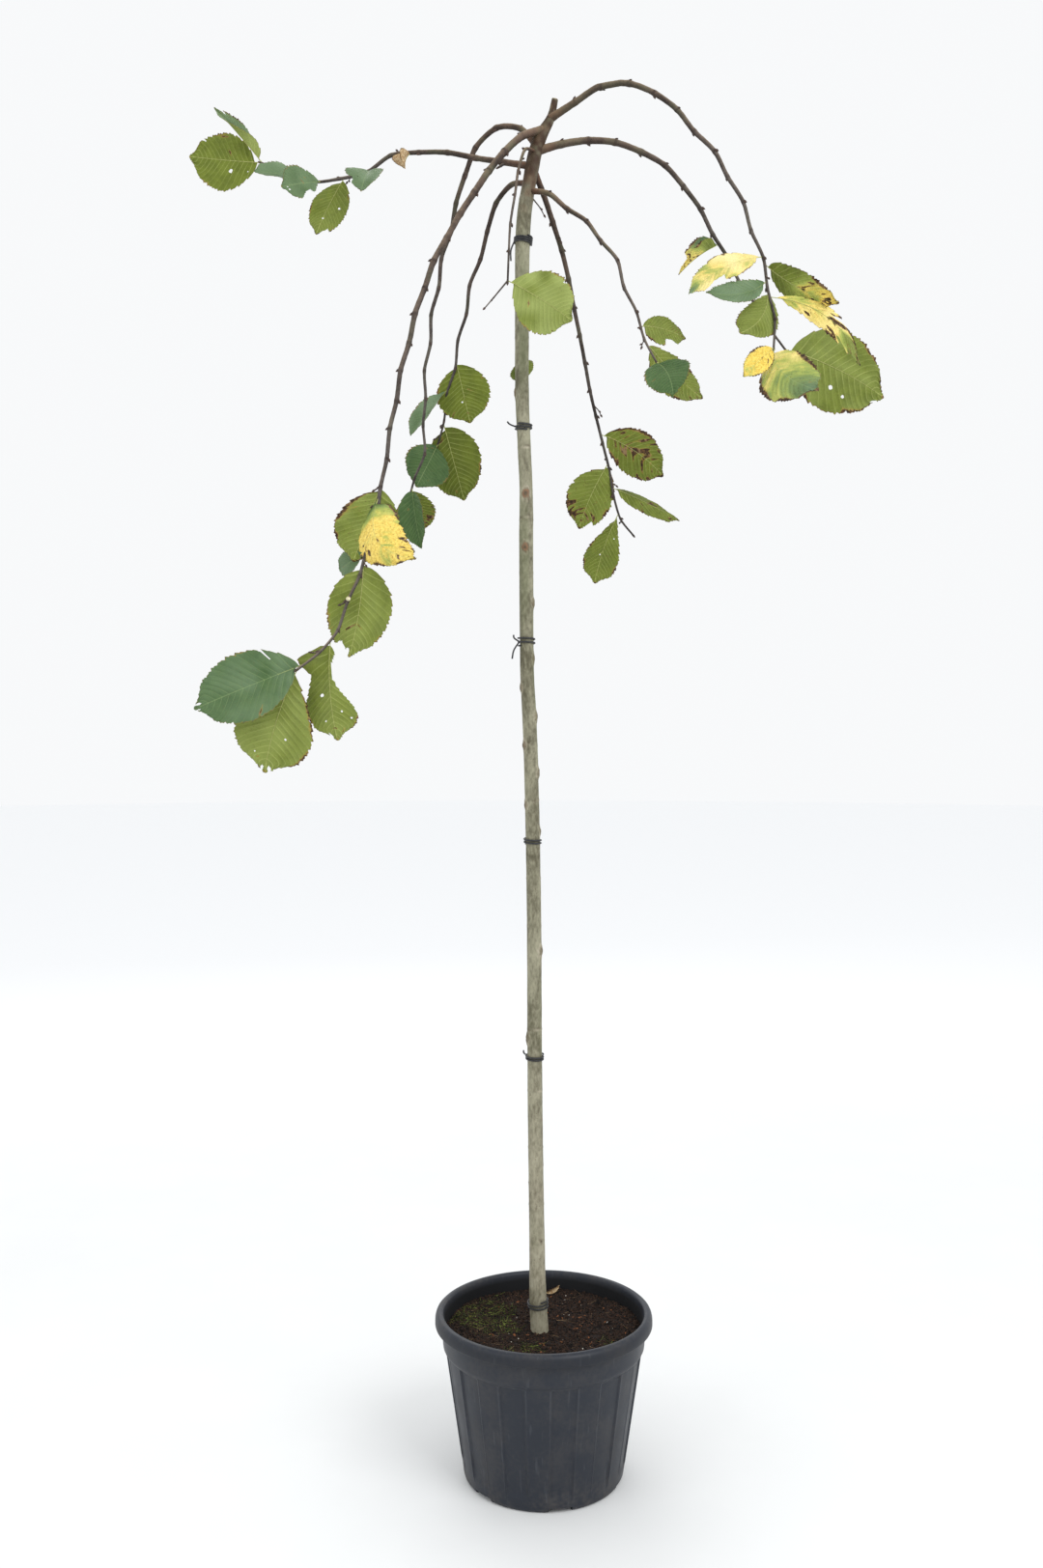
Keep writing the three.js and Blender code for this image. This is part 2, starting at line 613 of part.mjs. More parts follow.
// A leaf is a thin closed solid, an upper and a lower skin of cells with the rim between. Its
// stalk starts on the shoot's axis, thick, and thins into the blade.
function leafSolid(leaf, root) {
  const length = vec(...leaf.tip).length();
  const thin = Math.max(LEAF.thinnest, length / LEAF.slenderness);
  const columns = [-1, -0.5, 0, 0.5, 1];
  const upperSkin = [];
  const lowerSkin = [];
  for (const share of LEAF.rows) {
    const { upper } = leafFrame(leaf)(share);
    const half = share > LEAF.stalk ? thin / 2 : LEAF.stalkRadius * 0.8;
    for (const across of columns) {
      const middle = leafPoint(leaf, root, share, across);
      const slope = radians(leaf.fold + (leaf.cup * Math.abs(across)) / 2);
      upperSkin.push(middle.clone().addScaledVector(upper, half / Math.cos(slope)));
      lowerSkin.push(middle.addScaledVector(upper, -half / Math.cos(slope)));
    }
  }
  const offset = upperSkin.length;
  const width = columns.length;
  const lastRow = LEAF.rows.length - 1;
  const triangles = [];
  for (let row = 0; row < lastRow; row += 1) {
    for (let k = 0; k + 1 < width; k += 1) {
      const a = row * width + k;
      const b = a + 1;
      const c = a + width;
      const d = c + 1;
      triangles.push([a, b, d], [a, d, c]);
      triangles.push([offset + a, offset + d, offset + b], [offset + a, offset + c, offset + d]);
    }
  }
  const rim = [];
  for (let k = 0; k < width; k += 1) rim.push(k);
  for (let row = 1; row <= lastRow; row += 1) rim.push(row * width + width - 1);
  for (let k = width - 2; k >= 0; k -= 1) rim.push(lastRow * width + k);
  for (let row = lastRow - 1; row > 0; row -= 1) rim.push(row * width);
  rim.forEach((a, i) => {
    const b = rim[(i + 1) % rim.length];
    triangles.push([a, offset + a, offset + b], [a, offset + b, b]);
  });
  return solidOf(geometryOf([...upperSkin, ...lowerSkin], triangles));
}

// Limbs other than this one, as sampled centres and radii, for the foliage to keep clear of.
function obstaclesFor(limb) {
  const spots = [];
  for (const other of limbs) {
    const end = other === limb ? other.length - other.leafy - 4 : other.length;
    for (let place = 0; place < end; place += 8) {
      spots.push({
        centre: other.curve.getPointAt(place / other.length),
        radius: radiusAlong(other, place),
      });
    }
  }
  for (let height = SOIL.top; height < TRUNK[TRUNK.length - 1][0]; height += 8) {
    spots.push(trunkAt(height));
  }
  return spots;
}

// Whether a leaf keeps to its mass's own space and touches no other limb.
function leafFits(limb, leaf, root, obstacles) {
  const places = [0.2, 0.4, 0.6, 0.8, 1].flatMap((share) => [-1, -0.5, 0, 0.5, 1]
    .map((across) => leafPoint(leaf, root, share, across)));
  const shoot = [0, 0.25, 0.5, 0.75, 1].map((share) => limb.curve
    .getPointAt(1 - (share * limb.leafy) / limb.length));
  return places.every((place) => shoot.some((spot) => spot.distanceTo(place) < SPACE)
    && obstacles.every(({ centre, radius }) => centre.distanceTo(place) > radius + 2));
}

function twigSolid(limb, twig) {
  const root = limb.curve.getPointAt(1 - twig.back / limb.length);
  const end = root.clone().add(vec(...twig.run));
  const knee = root.clone().lerp(end, 0.6).addScaledVector(sidewaysOf(vec(...twig.run)), 3);
  return solidOf(tube(
    [root, knee, end],
    [twig.radius, twig.radius, twig.radius * 0.8],
    chordTangents([root, knee, end]),
    sidewaysOf(vec(...twig.run)),
    4,
  ));
}

// Short spurs on the leafy shoot, by a seeded rule.
function spurSolids(limb, random) {
  const spurs = [];
  for (let back = 25; back < limb.leafy - 20; back += INTERNODE / 2) {
    const kept = random() < SPUR.chance;
    const turn = 360 * random();
    const root = limb.curve.getPointAt(1 - back / limb.length);
    const along = limb.curve.getTangentAt(1 - back / limb.length);
    const aside = sidewaysOf(along).applyAxisAngle(along, radians(turn));
    const end = root.clone().addScaledVector(aside, SPUR.length * 0.7)
      .addScaledVector(along, SPUR.length * 0.7);
    if (kept) spurs.push(solidOf(straightTube(root, end, SPUR.radius, SPUR.radius * 0.8, 4)));
  }
  return spurs;
}

// One mass: the leafy end of a limb's shoot with its leaves, spurs and bare twigs fused on.
function foliageMesh(limb, index) {
  const random = randomStream(SEED + index);
  const obstacles = obstaclesFor(limb);
  const parts = [limbStretch(limb, limb.length - limb.leafy, limb.length)];
  for (const leaf of LEAVES[limb.name]) {
    const root = limb.curve.getPointAt(1 - leaf.back / limb.length);
    if (leafFits(limb, leaf, root, obstacles)) parts.push(leafSolid(leaf, root));
  }
  for (const twig of BARE_TWIGS.filter(({ limb: name }) => name === limb.name)) {
    parts.push(twigSolid(limb, twig));
  }
  parts.push(...spurSolids(limb, random));
  return meshOf(join(parts), `foliage_${limb.name}`, MATERIALS.foliage);
}

// ---------------------------------------------------------------- assembly

const tree = new THREE.Group();
tree.add(meshOf(potSolid(), 'pot', MATERIALS.pot));
tree.add(meshOf(soilSolid(), 'soil', MATERIALS.soil));
tree.add(meshOf(trunkSolid(), 'trunk', MATERIALS.stem));
TIES.forEach((tie, i) => tree.add(meshOf(tieSolid(tie), `tie_${i + 1}`, MATERIALS.tie)));
limbs.forEach((limb, i) => {
  tree.add(...limbMeshes(limb));
  tree.add(foliageMesh(limb, i));
});

export default tree;
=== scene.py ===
"""A young weeping elm, grafted on a clear stem and grown in a round nursery pot.

Sizes are millimetres, as in the part's source, and are turned into metres when a mesh is made.
The limbs, twigs and leaves grow by the source's rules, carried to finer detail here.
"""

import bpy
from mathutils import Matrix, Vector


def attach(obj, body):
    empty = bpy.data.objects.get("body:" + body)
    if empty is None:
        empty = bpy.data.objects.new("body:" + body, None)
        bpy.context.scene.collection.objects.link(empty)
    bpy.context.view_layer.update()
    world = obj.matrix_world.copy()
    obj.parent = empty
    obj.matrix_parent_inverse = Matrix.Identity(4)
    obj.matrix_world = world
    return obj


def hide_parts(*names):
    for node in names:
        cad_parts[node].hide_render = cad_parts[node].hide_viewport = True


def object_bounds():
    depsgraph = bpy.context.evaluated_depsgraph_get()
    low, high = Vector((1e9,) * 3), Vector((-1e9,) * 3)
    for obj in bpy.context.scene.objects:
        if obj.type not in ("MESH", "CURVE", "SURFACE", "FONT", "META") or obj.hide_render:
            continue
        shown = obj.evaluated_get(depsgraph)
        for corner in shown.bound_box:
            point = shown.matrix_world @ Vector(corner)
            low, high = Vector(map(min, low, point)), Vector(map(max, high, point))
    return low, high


bl_info = {
    "name": "Potted weeping elm",
    "version": (1, 0, 0),
    "blender": (4, 5, 0),
    "location": "3D View > Sidebar > Elm",
    "description": "Builds a young weeping elm in a nursery pot, piece by piece",
    "category": "Object",
}

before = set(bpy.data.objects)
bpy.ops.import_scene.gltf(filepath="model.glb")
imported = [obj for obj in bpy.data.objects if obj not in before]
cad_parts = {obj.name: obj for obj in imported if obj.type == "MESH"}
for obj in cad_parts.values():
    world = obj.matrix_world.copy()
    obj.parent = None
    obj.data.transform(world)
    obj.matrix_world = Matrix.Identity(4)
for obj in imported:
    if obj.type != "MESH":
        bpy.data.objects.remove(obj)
cad_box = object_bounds()  # its lowest and highest corners, in metres

import itertools
import math

import bmesh
import bpy
import numpy as np

MILLIMETRE = 0.001

# ---------------------------------------------------------------- sizes shared with the source

POT = {
    "foot": 159, "foot_rise": 9, "shoulder": 194, "shoulder_height": 254, "rim": 198,
    "height": 328, "wall": 4, "floor": 14,
    "panels": 12, "panel_sweep": 15, "panel_depth": 3, "panel_turn": -79,
    "notch_every": 2,  # one notch under every second panel
    "notch_sweep": 17, "notch_height": 9, "notch_inner": 126,
}
# The pot's section as radius and height: its rounded foot, the band above the panels, the
# rolled collar, and the heights at which the flank and the inside wall have a row of points.
FOOT_EDGE = [(140, 0), (149, 0), (151, 0), (153.6, 0.7), (156, 2.6), (157.8, 5.4), (159, 9)]
BAND = [(195, 255.4), (196.4, 257.4), (197.9, 259.2), (199, 261.6), (199.6, 266), (200.4, 278),
        (201.5, 292), (202, 300), (202.6, 302.6)]
COLLAR = [(205, 303.4), (209, 303.2), (213, 303), (214.8, 303.8), (215.4, 305.6), (215.4, 311),
          (215.1, 316.5), (214.2, 320.6), (212.4, 324.2), (209.6, 326.8), (206.4, 328),
          (203, 327.9), (200.4, 326.8), (198.7, 324.8), (198, 322)]
FLANK_HEIGHTS = [9.8, 15, 20, 24, 27, 30, 33, 36, 40, *range(62, 240, 22), 244, 248, 250.4,
                 251.8, 252.8, 253.6, 254.4]
INNER_HEIGHTS = [312, 300, 280, 254, 200, 140, 80, 30, 17]
PANEL_FADES = ((24, 40), (254.2, 250.6))  # heights over which the panels sink in and end
PANEL_EDGE = 0.7  # how soft a panel's edge is, in degrees
POLE = 0.5  # radius at which a turned surface is closed
OUT_OF_ROUND = 0.0022
SOIL_TOP = 286
SOIL_EDGE_RISE = 7
SOIL_FLAT = 60
SOIL_FLOOR = 249  # the bed is closed a little way below its surface
SOIL_WAVES = [(2.6, 38, 3), (1.3, 13, 4), (0.6, 5, 5)]  # height, size and seed
# Where moss and red bark chips lie: place, radius of the patch, strength.
MOSS_PATCHES = [(-112, 112, 40, 1), (-138, 38, 44, 1), (-84, -8, 34, 1), (-36, -96, 34, 1),
                (-170, 62, 30, 1), (-98, 64, 44, 1), (120, -60, 16, 1)]
RED_PATCHES = [(62, 28, 42, 1), (-10, -88, 30, 0.4)]
# Strands on the soil: length, radius, how far they droop and rise as shares of the length.
STRANDS = {"fibre": (22, 0.5, 1, 0.16), "moss_shoot": (14, 0.9, 0.7, 0.9)}
STRAND_SWAY = 0.1
WALL_CLEARANCE = 2  # how far the strands' ends stay from the pot's wall
FALLEN_LEAF_ROOT = (6.0, 168.0, 293.0)

# The stem's centre line and thickness: height, sideways, diameter.
TRUNK = np.array([
    (270, -7, 37), (300, -9, 35), (367, -12, 33), (441, -13, 31), (637, -16, 29.5),
    (834, -18, 28.5), (1151, -20, 27.5), (1396, -25, 27), (1509, -29, 27), (1584, -33, 26.5),
    (1651, -34, 26.5), (1833, -35, 27), (1936, -35, 26), (2029, -39, 26), (2139, -43, 26.5),
    (2322, -43, 27), (2413, -42, 28.5), (2477, -38, 28), (2537, -28, 27), (2564, -23, 28),
    (2591, -17, 27), (2619, -7, 25), (2647, 9, 18.5), (2664, 15, 14.5), (2688, 20, 12.5),
], float)

# Healed knots on the stem: height, bearing, radius, how red their healed wood is.
KNOTS = [
    (1045, -15, 9, .2), (1280, 20, 9, .2), (1395, 0, 9, .2), (1505, -10, 9, .2),
    (1618, -5, 9, .2), (1725, 0, 9, .3), (1833, -100, 9, .9), (1936, -95, 9, .9),
    (1562, 195, 8, .2), (1450, 200, 8, .3), (1333, 205, 7, .3), (2130, 180, 8, .3),
    (872, 185, 10, .1), (711, -30, 3, .4), (620, -15, 3, .4), (584, 180, 3, .4),
    (470, -58, 5, .1),
]
RING_SCARS = [540, 654, 768, 889, 1093, 1188, 1340, 1450, 1784, 1889, 2025, 2237, 2500]
STEM_ROWS, STEM_SIDES = 620, 44
STEM_UNROLLED = 14  # radius of the even tube on which the bark's marks are laid out
CUT_RINGS = [(1, 0), (0.96, 0.5), (0.8, 0.35), (0.6, 0.5), (0.4, 0.3), (0.2, 0.45), (0.03, 0.3)]

# Ties: height, turns, pitch of the winding, loose ends as bearing, sideways run, rise.
TIES = [
    (341, 2, 7.2, []),
    (834, 2, 5.2, [(150, 9, 11)]),
    (1261, 2, 6.2, []),
    (1651, 2, 8.2, [(185, 11, 13), (200, 15, -34)]),
    (2065, 2, 5.6, [(190, 17, 10)]),
    (2421, 3, 4.2, [(195, 8, -40)]),
]
CORD_RADIUS = 1.8
TAIL_RADIUS = 1.6

# Limbs: heading, veer, radius at the stem and at the tip, leafy length, stations.
LIMBS = {
    "upper_right": (-22, 0, (7.5, 2.3), 205, [
        (0, 2652), (56, 2677), (116, 2700), (170, 2687), (232, 2648), (335, 2522),
        (395, 2393), (430, 2268), (436, 2172)]),
    "right": (12, 0, (8.5, 2.3), 275, [
        (0, 2590), (35, 2603), (87, 2617), (145, 2621), (204, 2610), (263, 2580),
        (313, 2531), (382, 2425), (435, 2343), (515, 2239)]),
    "rear_left": (152, 0, (6.5, 2.4), 70, [
        (0, 2600), (24, 2629), (60, 2653), (103, 2646), (145, 2610), (178, 2525),
        (218, 2395), (243, 2270), (257, 2150), (258, 2046), (297, 1935)]),
    "front_left": (212, 0, (8, 2.4), 415, [
        (0, 2632), (28, 2622), (65, 2596), (131, 2520), (240, 2345), (298, 2180),
        (330, 2040), (358, 1890), (389, 1782), (449, 1645), (486, 1608), (520, 1585)]),
    "far_left": (172, 0, (7, 2.3), 340, [
        (0, 2562), (57, 2573), (130, 2588), (215, 2603), (266, 2598), (330, 2570),
        (385, 2554), (435, 2558), (490, 2575), (542, 2598)]),
    "inner_left": (130, 0, (6, 2.2), 195, [
        (0, 2530), (35, 2541), (75, 2539), (106, 2514), (133, 2460), (178, 2385),
        (212, 2300), (245, 2210), (270, 2145), (298, 2070)]),
    "rear_right": (50, 0, (6.5, 2.1), 250, [
        (0, 2562), (24, 2532), (47, 2498), (100, 2408), (126, 2335), (154, 2260),
        (187, 2160), (222, 2080), (255, 2005), (280, 1930), (338, 1889)]),
    "front_right": (-38, 0, (6, 2.1), 125, [
        (0, 2516), (36, 2510), (54, 2496), (97, 2459), (140, 2424), (194, 2361),
        (223, 2300), (248, 2239), (295, 2143)]),
    "front": (-112, 0, (3.4, 2), 20, [
        (0, 2590), (30, 2588), (52, 2576), (67, 2555), (85, 2528), (103, 2480),
        (125, 2415), (138, 2345), (140, 2302)]),
    "back": (93, 2, (5, 2), 110, [
        (0, 2540), (45, 2538), (100, 2505), (155, 2420), (188, 2330), (200, 2240)]),
}
INTERNODE = 56
ZIGZAG = 3.2
ZIGZAG_TURN = 35
SHOOT_TENSION = 0.4  # the source's limbs are a little more angular
COLLAR_SWELL = 0.3
COLLAR_REACH = 18
LIMB_STEP = 2.6
LIMB_SIDES = 16
BARK_INSET = 0.93  # the bark swells out to the source's limb at its buds
BOX_MARGIN = 0.4  # how far everything stays inside the source's outer box

# Twigs: limb, distance back from its tip, run, radius, how far its middle sags sideways.
TWIGS = [
    ("front", 4, (-42, -8, -52), 1.7, 5),
    ("rear_right", 300, (16, 6, -20), 1.4, 4),
    ("rear_right", 638, (9, -2, -17), 1.5, -2),
    ("far_left", 512, (-15, -6, -12), 3.4, 0),
    ("far_left", 538, (6, -5, 15), 2.0, 2),
]
STEM_TWIG = (2506, (9, 8, 0), (24, 12, -30), 1.5, 3)  # height and place, then as above
SPUR_CHANCE = 0.5
SPUR_START, SPUR_STOP = 25, 20  # how far the spurs stay from the leafy length's two ends
SPUR_REACH = 14 * 0.7  # sideways, and as far along the limb
SPUR_RADIUS = 1.6 * 0.7  # finer than in the source
BARE_LENGTH = 40  # no buds this close to the stem
FLOWER_BUD = ("front_left", 171)  # limb, distance back from its tip
SEED = 41

STALK = 0.05  # share of a leaf's length that is stalk


def leaf(back, tip, width, full, face, twist, bend, bow, fold, cup, **look):
    """One leaf: its form, as in the source or close to it, then what it has been through."""
    shape = dict(back=back, tip=np.array(tip, float), width=width, full=full, face=face,
                 twist=twist, bend=bend, bow=bow, fold=fold, cup=cup)
    wear = dict(yellow=0.04, turned=(-1, 0), margin=0.4, blotch=0.06, worn=(-1, 0), bloom=0.25,
                dry=0.0, ragged=0.4, holes=(), bites=(), lobes=())
    return {**shape, **wear, **look}


# look: yellow, how far the blade has turned, between the two shares in turned; margin, its
# browning; blotch, browning between the veins, between the two shares in worn; bloom, the pale
# sheen of the upper side, and below zero a painted shade that darkens the blade; dry, how dead;
# ragged, how torn the margin is; holes as (share, across, radius); bites out of the margin as
# (share, side, depth, length); lobes that reach further out, as (share, side, further out,
# length, lift).
LEAVES = {
    "far_left": [
        leaf(2, (-145, 15, 18), 114, .50, 178, 0, 12, 0, 6, 8, yellow=.05, margin=.55,
             bloom=.05, holes=[(.31, .38, 4), (.08, .5, 1.5)], bites=[(.6, -1, .2, .012)]),
        leaf(6, (-90, -25, 98), 44, .36, 150, -160, 6, 0, 40, 10, yellow=.1, margin=.9,
             bloom=.85, bites=[(.72, 1, .45, .05)]),
        leaf(95, (-90, -45, -2), 64, .5, 42, 0, 14, 0, 8, 14, bloom=.8),
        leaf(132, (-68, -62, -32), 72, .6, -2, 0, 16, 0, 8, 8, bloom=.45, ragged=.9,
             holes=[(.8, -.35, 2.2), (.85, -.1, 1.6)], bites=[(.3, -1, .45, .12)]),
        leaf(180, (-54, -15, -114), 74, .48, 186, 0, 12, -4, 8, 6, yellow=.05, margin=.7,
             bloom=.2, holes=[(.3, .55, 2.4), (.7, .05, 2)], bites=[(.74, 1, .4, .09)]),
        leaf(232, (-8, -82, -70), 78, .5, 5, 0, 35, 0, 16, 10, bloom=.65, ragged=.8,
             holes=[(.5, .3, 1.5), (.6, -.4, 1.2)], bites=[(.55, 1, .35, .1)]),
        leaf(322, (-10, -14, -36), 54, .5, 60, 0, 60, 0, 20, 70, dry=1, margin=.6,
             blotch=.3),
    ],
    "front_left": [
        leaf(392, (-50, -10, -140), 122, .50, 184, 0, 12, 0, 5, 10, yellow=.08, margin=1,
             blotch=.4, worn=(.7, .1), bloom=.3),
        leaf(372, (70, -62, -122), 104, .38, 10, 0, 25, 42, -12, -25, yellow=1,
             turned=(-.05, .3), margin=1, blotch=.6, worn=(.15, .8), ragged=.8, bloom=.1,
             lobes=[(.13, 1, 34, .14, 0)]),
        leaf(262, (-55, 60, -25), 44, .55, 10, 0, 20, 0, 10, 10, bloom=.5),
        leaf(248, (-25, -20, -175), 118, .44, 180, -8, 10, 5, 6, 6, margin=.55, bloom=.3,
             bites=[(.78, -1, .45, .1), (.9, -1, .75, .06), (.95, 1, .35, .02)]),
        leaf(86, (15, -25, -178), 104, .60, 190, 0, 14, -9, 8, 8, margin=.6, ragged=.7,
             bloom=.3, holes=[(.42, -.3, 3.2), (.62, .3, 2), (.72, -.3, 2), (.6, .7, 2.2)],
             bites=[(.24, 1, .86, .2), (.86, -1, .4, .06)], lobes=[(.12, -1, 42, .12, -30)]),
        leaf(20, (-190, -30, -80), 122, .5, 4, 0, 14, 0, 6, 6, yellow=0, bloom=.38,
             margin=.3, bites=[(.13, 1, .35, .006), (.92, 1, .8, .03), (.93, -1, .6, .03)]),
        leaf(2, (-62, 20, -182), 142, .62, 178, 0, 10, -8, 4, 6, yellow=.1, margin=.6,
             bloom=.45, holes=[(.55, .3, 2.4), (.76, -.4, 1.6)],
             bites=[(.93, 1, .8, .035), (.93, -1, .72, .03)]),
    ],
    "rear_left": [
        leaf(38, (20, -8, -125), 80, .42, 42, 0, 16, 0, 16, 8, yellow=0, bloom=0),
        leaf(34, (15, 60, -80), 78, .55, 180, 0, 14, 0, 6, 6, blotch=.45, margin=.8, bloom=0),
        leaf(2, (-50, 65, -70), 72, .55, 150, 0, 14, 0, 8, 6),
    ],
    "inner_left": [
        leaf(178, (28, 25, -120), 114, .48, 178, 0, 12, 0, 5, 6, holes=[(.6, -.1, 2)],
             margin=.6, blotch=.1, bloom=0),
        leaf(120, (-80, 15, -92), 60, .6, 46, 0, 22, 0, 14, 10, bloom=.75, margin=.5),
        leaf(50, (42, 20, -156), 118, .44, 182, 0, 12, 0, 5, 6, margin=.6, blotch=.1,
             bloom=-.4),
        leaf(6, (-42, -55, -98), 100, .52, -12, 0, 16, 0, 6, 8, yellow=0, bloom=.08,
             holes=[(.3, .3, 1.4)]),
    ],
    "rear_right": [
        leaf(238, (130, 10, -84), 96, .5, 178, 0, 12, 12, 5, 8, yellow=.06, margin=1,
             blotch=.75, ragged=.8, bites=[(.8, 1, .16, .02)], bloom=-.1),
        leaf(175, (-60, -10, -135), 98, .48, 174, 0, 14, -5, 6, 8, yellow=.12, margin=.9,
             blotch=1, worn=(.2, .7), ragged=.7, bites=[(.72, 1, .4, .07)], bloom=.1),
        leaf(125, (142, 15, -66), 62, .46, 130, 0, 14, 13, 10, 8, yellow=.03, margin=.6,
             blotch=.2, bloom=.1),
        leaf(68, (-50, -10, -146), 76, .64, 190, 0, 12, -6, 8, 8, margin=.8, blotch=.4,
             worn=(.3, .8), ragged=.7, holes=[(.55, -.1, 1.5), (.2, .5, 1.4)], bloom=.1),
    ],
    "front_right": [
        leaf(80, (84, 15, -18), 62, .45, 160, 0, 20, 10, 6, 8, margin=1, blotch=.4,
             worn=(.3, .7), bites=[(.5, -1, .5, .13)]),
        leaf(45, (104, 10, -98), 82, .50, 155, 0, 22, 0, 8, 8, margin=.9, blotch=.35),
        leaf(2, (22, -85, -80), 84, .5, 10, 0, 26, -8, 6, 8, yellow=0, bloom=.08,
             blotch=.16),
    ],
    "front": [
        leaf(4, (118, -10, -76), 118, .52, 180, 0, 10, 4, 5, 6, yellow=.07,
             bites=[(.38, 1, .12, .02)], bloom=.75),
    ],
    "right": [
        leaf(248, (-82, -20, -66), 60, .3, 58, 0, 28, 0, 45, 30, yellow=.75, turned=(.1, .5),
             margin=1, blotch=.8, worn=(.25, .6), ragged=1, bloom=.2,
             bites=[(.65, 1, .55, .22), (.65, -1, .5, .22)]),
        leaf(2, (202, 15, -92), 168, .46, 180, 0, 12, 12, 5, 8, yellow=.02, margin=.85,
             ragged=.8, holes=[(.38, -.45, 4.5), (.5, -.55, 3.5)], bloom=.3,
             bites=[(.8, -1, .25, .03)]),
    ],
    "upper_right": [
        leaf(172, (-138, -25, -74), 76, .5, 40, 0, 50, 0, 8, -15, yellow=1,
             turned=(.97, .7), margin=.5, blotch=.12, ragged=1, bloom=.85,
             bites=[(.5, -1, .5, .12)]),
        leaf(158, (132, -20, -76), 66, .42, -128, 0, 20, -14, 8, -12, yellow=.85,
             turned=(.1, .7), margin=1.3, blotch=.85, worn=(0, .8), ragged=1, bloom=.1),
        leaf(126, (-116, -45, -34), 52, .5, 25, 0, 14, -20, 6, 8, yellow=0, bloom=.7),
        leaf(112, (-52, -15, -84), 74, .55, 180, 0, 14, 18, 8, 6, yellow=.08, margin=.55,
             blotch=.12, bloom=.4),
        leaf(96, (160, -25, -130), 46, .5, 195, -50, 14, 40, 10, 12, yellow=.9,
             turned=(.75, .5), margin=1.3, blotch=.65, ragged=1, bloom=.45,
             bites=[(.4, 1, .55, .05), (.52, -1, .5, .05), (.7, -1, .4, .06)]),
        leaf(4, (-64, -56, -66), 46, .5, 0, 0, 20, 0, 8, 8, yellow=.85, margin=.9, blotch=.2,
             ragged=.8, bloom=0),
        leaf(2, (62, -102, -98), 106, .44, 12, 0, 30, 22, -8, -14, yellow=.62,
             turned=(1.0, .2), margin=1.1, bloom=.55, ragged=1, blotch=.15),
    ],
    "back": [
        leaf(90, (2, 95, -50), 74, .55, 88, 0, 18, 0, 8, 6, bloom=.4),
        leaf(45, (2, 60, -105), 70, .55, 92, 0, 14, 0, 8, 6, yellow=.2, margin=.5),
        leaf(2, (8, 80, -22), 56, .55, 172, 0, 14, 0, 6, 6, blotch=.2),
    ],
}

# ---------------------------------------------------------------- the growth rules

FRONT = np.array((0.0, -1.0, 0.0))
UP = np.array((0.0, 0.0, 1.0))


def bearing(degrees):
    turn = math.radians(degrees)
    return np.array((math.cos(turn), math.sin(turn), 0.0))


def unit(vectors):
    vectors = np.asarray(vectors, float)
    return vectors / np.linalg.norm(vectors, axis=-1, keepdims=True)


def smooth(value, low, high):
    """A soft step from 0 to 1 as the value goes from low to high, which may lie below it."""
    t = np.clip((np.asarray(value, float) - low) / (high - low), 0, 1)
    return t * t * (3 - 2 * t)


def hump(value, middle, reach):
    """A soft hump of height 1 at the middle, gone at about twice its reach."""
    return np.exp(-((value - middle) / reach) ** 2)


def turned_about(vectors, axis, angle):
    """Vectors turned about a unit axis by an angle in radians, all as arrays."""
    cosine, sine = np.cos(angle)[..., None], np.sin(angle)[..., None]
    along = np.sum(axis * vectors, -1, keepdims=True)
    return vectors * cosine + np.cross(axis, vectors) * sine + axis * along * (1 - cosine)


def noise(points, scale, seed):
    """Smooth noise from -1 to 1 with features of about the given size."""
    size = 32
    table = np.random.default_rng(seed).uniform(-1, 1, (size, size, size))
    places = np.asarray(points, float) / scale
    cells = np.floor(places).astype(int)
    weights = places - cells
    weights = weights * weights * (3 - 2 * weights)
    total = np.zeros(places.shape[:-1])
    for corner in itertools.product((0, 1), repeat=3):
        share = np.prod(np.where(corner, weights, 1 - weights), axis=-1)
        i, j, k = np.moveaxis((cells + corner) % size, -1, 0)
        total += share * table[i, j, k]
    return total


class Spline:
    """A Catmull-Rom curve through points, read by its share of the whole length."""

    def __init__(self, points, tension, divisions):
        self.points = np.array(points, float)
        self.tension = tension
        self.times = np.linspace(0, 1, divisions + 1)
        steps = np.linalg.norm(np.diff(self.at(self.times), axis=0), axis=1)
        self.lengths = np.concatenate([[0], np.cumsum(steps)])
        self.length = self.lengths[-1]

    def at(self, time):
        count = len(self.points) - 1
        place = np.clip(np.asarray(time, float), 0, 1) * count
        index = np.minimum(place.astype(int), count - 1)
        w = (place - index)[..., None]
        ends = 2 * self.points[0] - self.points[1], 2 * self.points[-1] - self.points[-2]
        padded = np.vstack([ends[0], self.points, ends[1]])
        a, b, c, d = (padded[index + k] for k in range(4))
        out, into = self.tension * (c - a), self.tension * (d - b)
        return (b + out * w + (3 * (c - b) - 2 * out - into) * w**2
                + (2 * (b - c) + out + into) * w**3)

    def here(self, share):
        return self.at(np.interp(np.clip(share, 0, 1) * self.length, self.lengths, self.times))

    def tangent(self, share):
        share = np.asarray(share, float)
        return unit(self.here(share + 1e-4) - self.here(share - 1e-4))


def trunk_at(height):
    """The stem's centre and radius at a height."""
    side = np.interp(height, TRUNK[:, 0], TRUNK[:, 1])
    width = np.interp(height, TRUNK[:, 0], TRUNK[:, 2])
    return np.array((side, 0.0, height)), width / 2


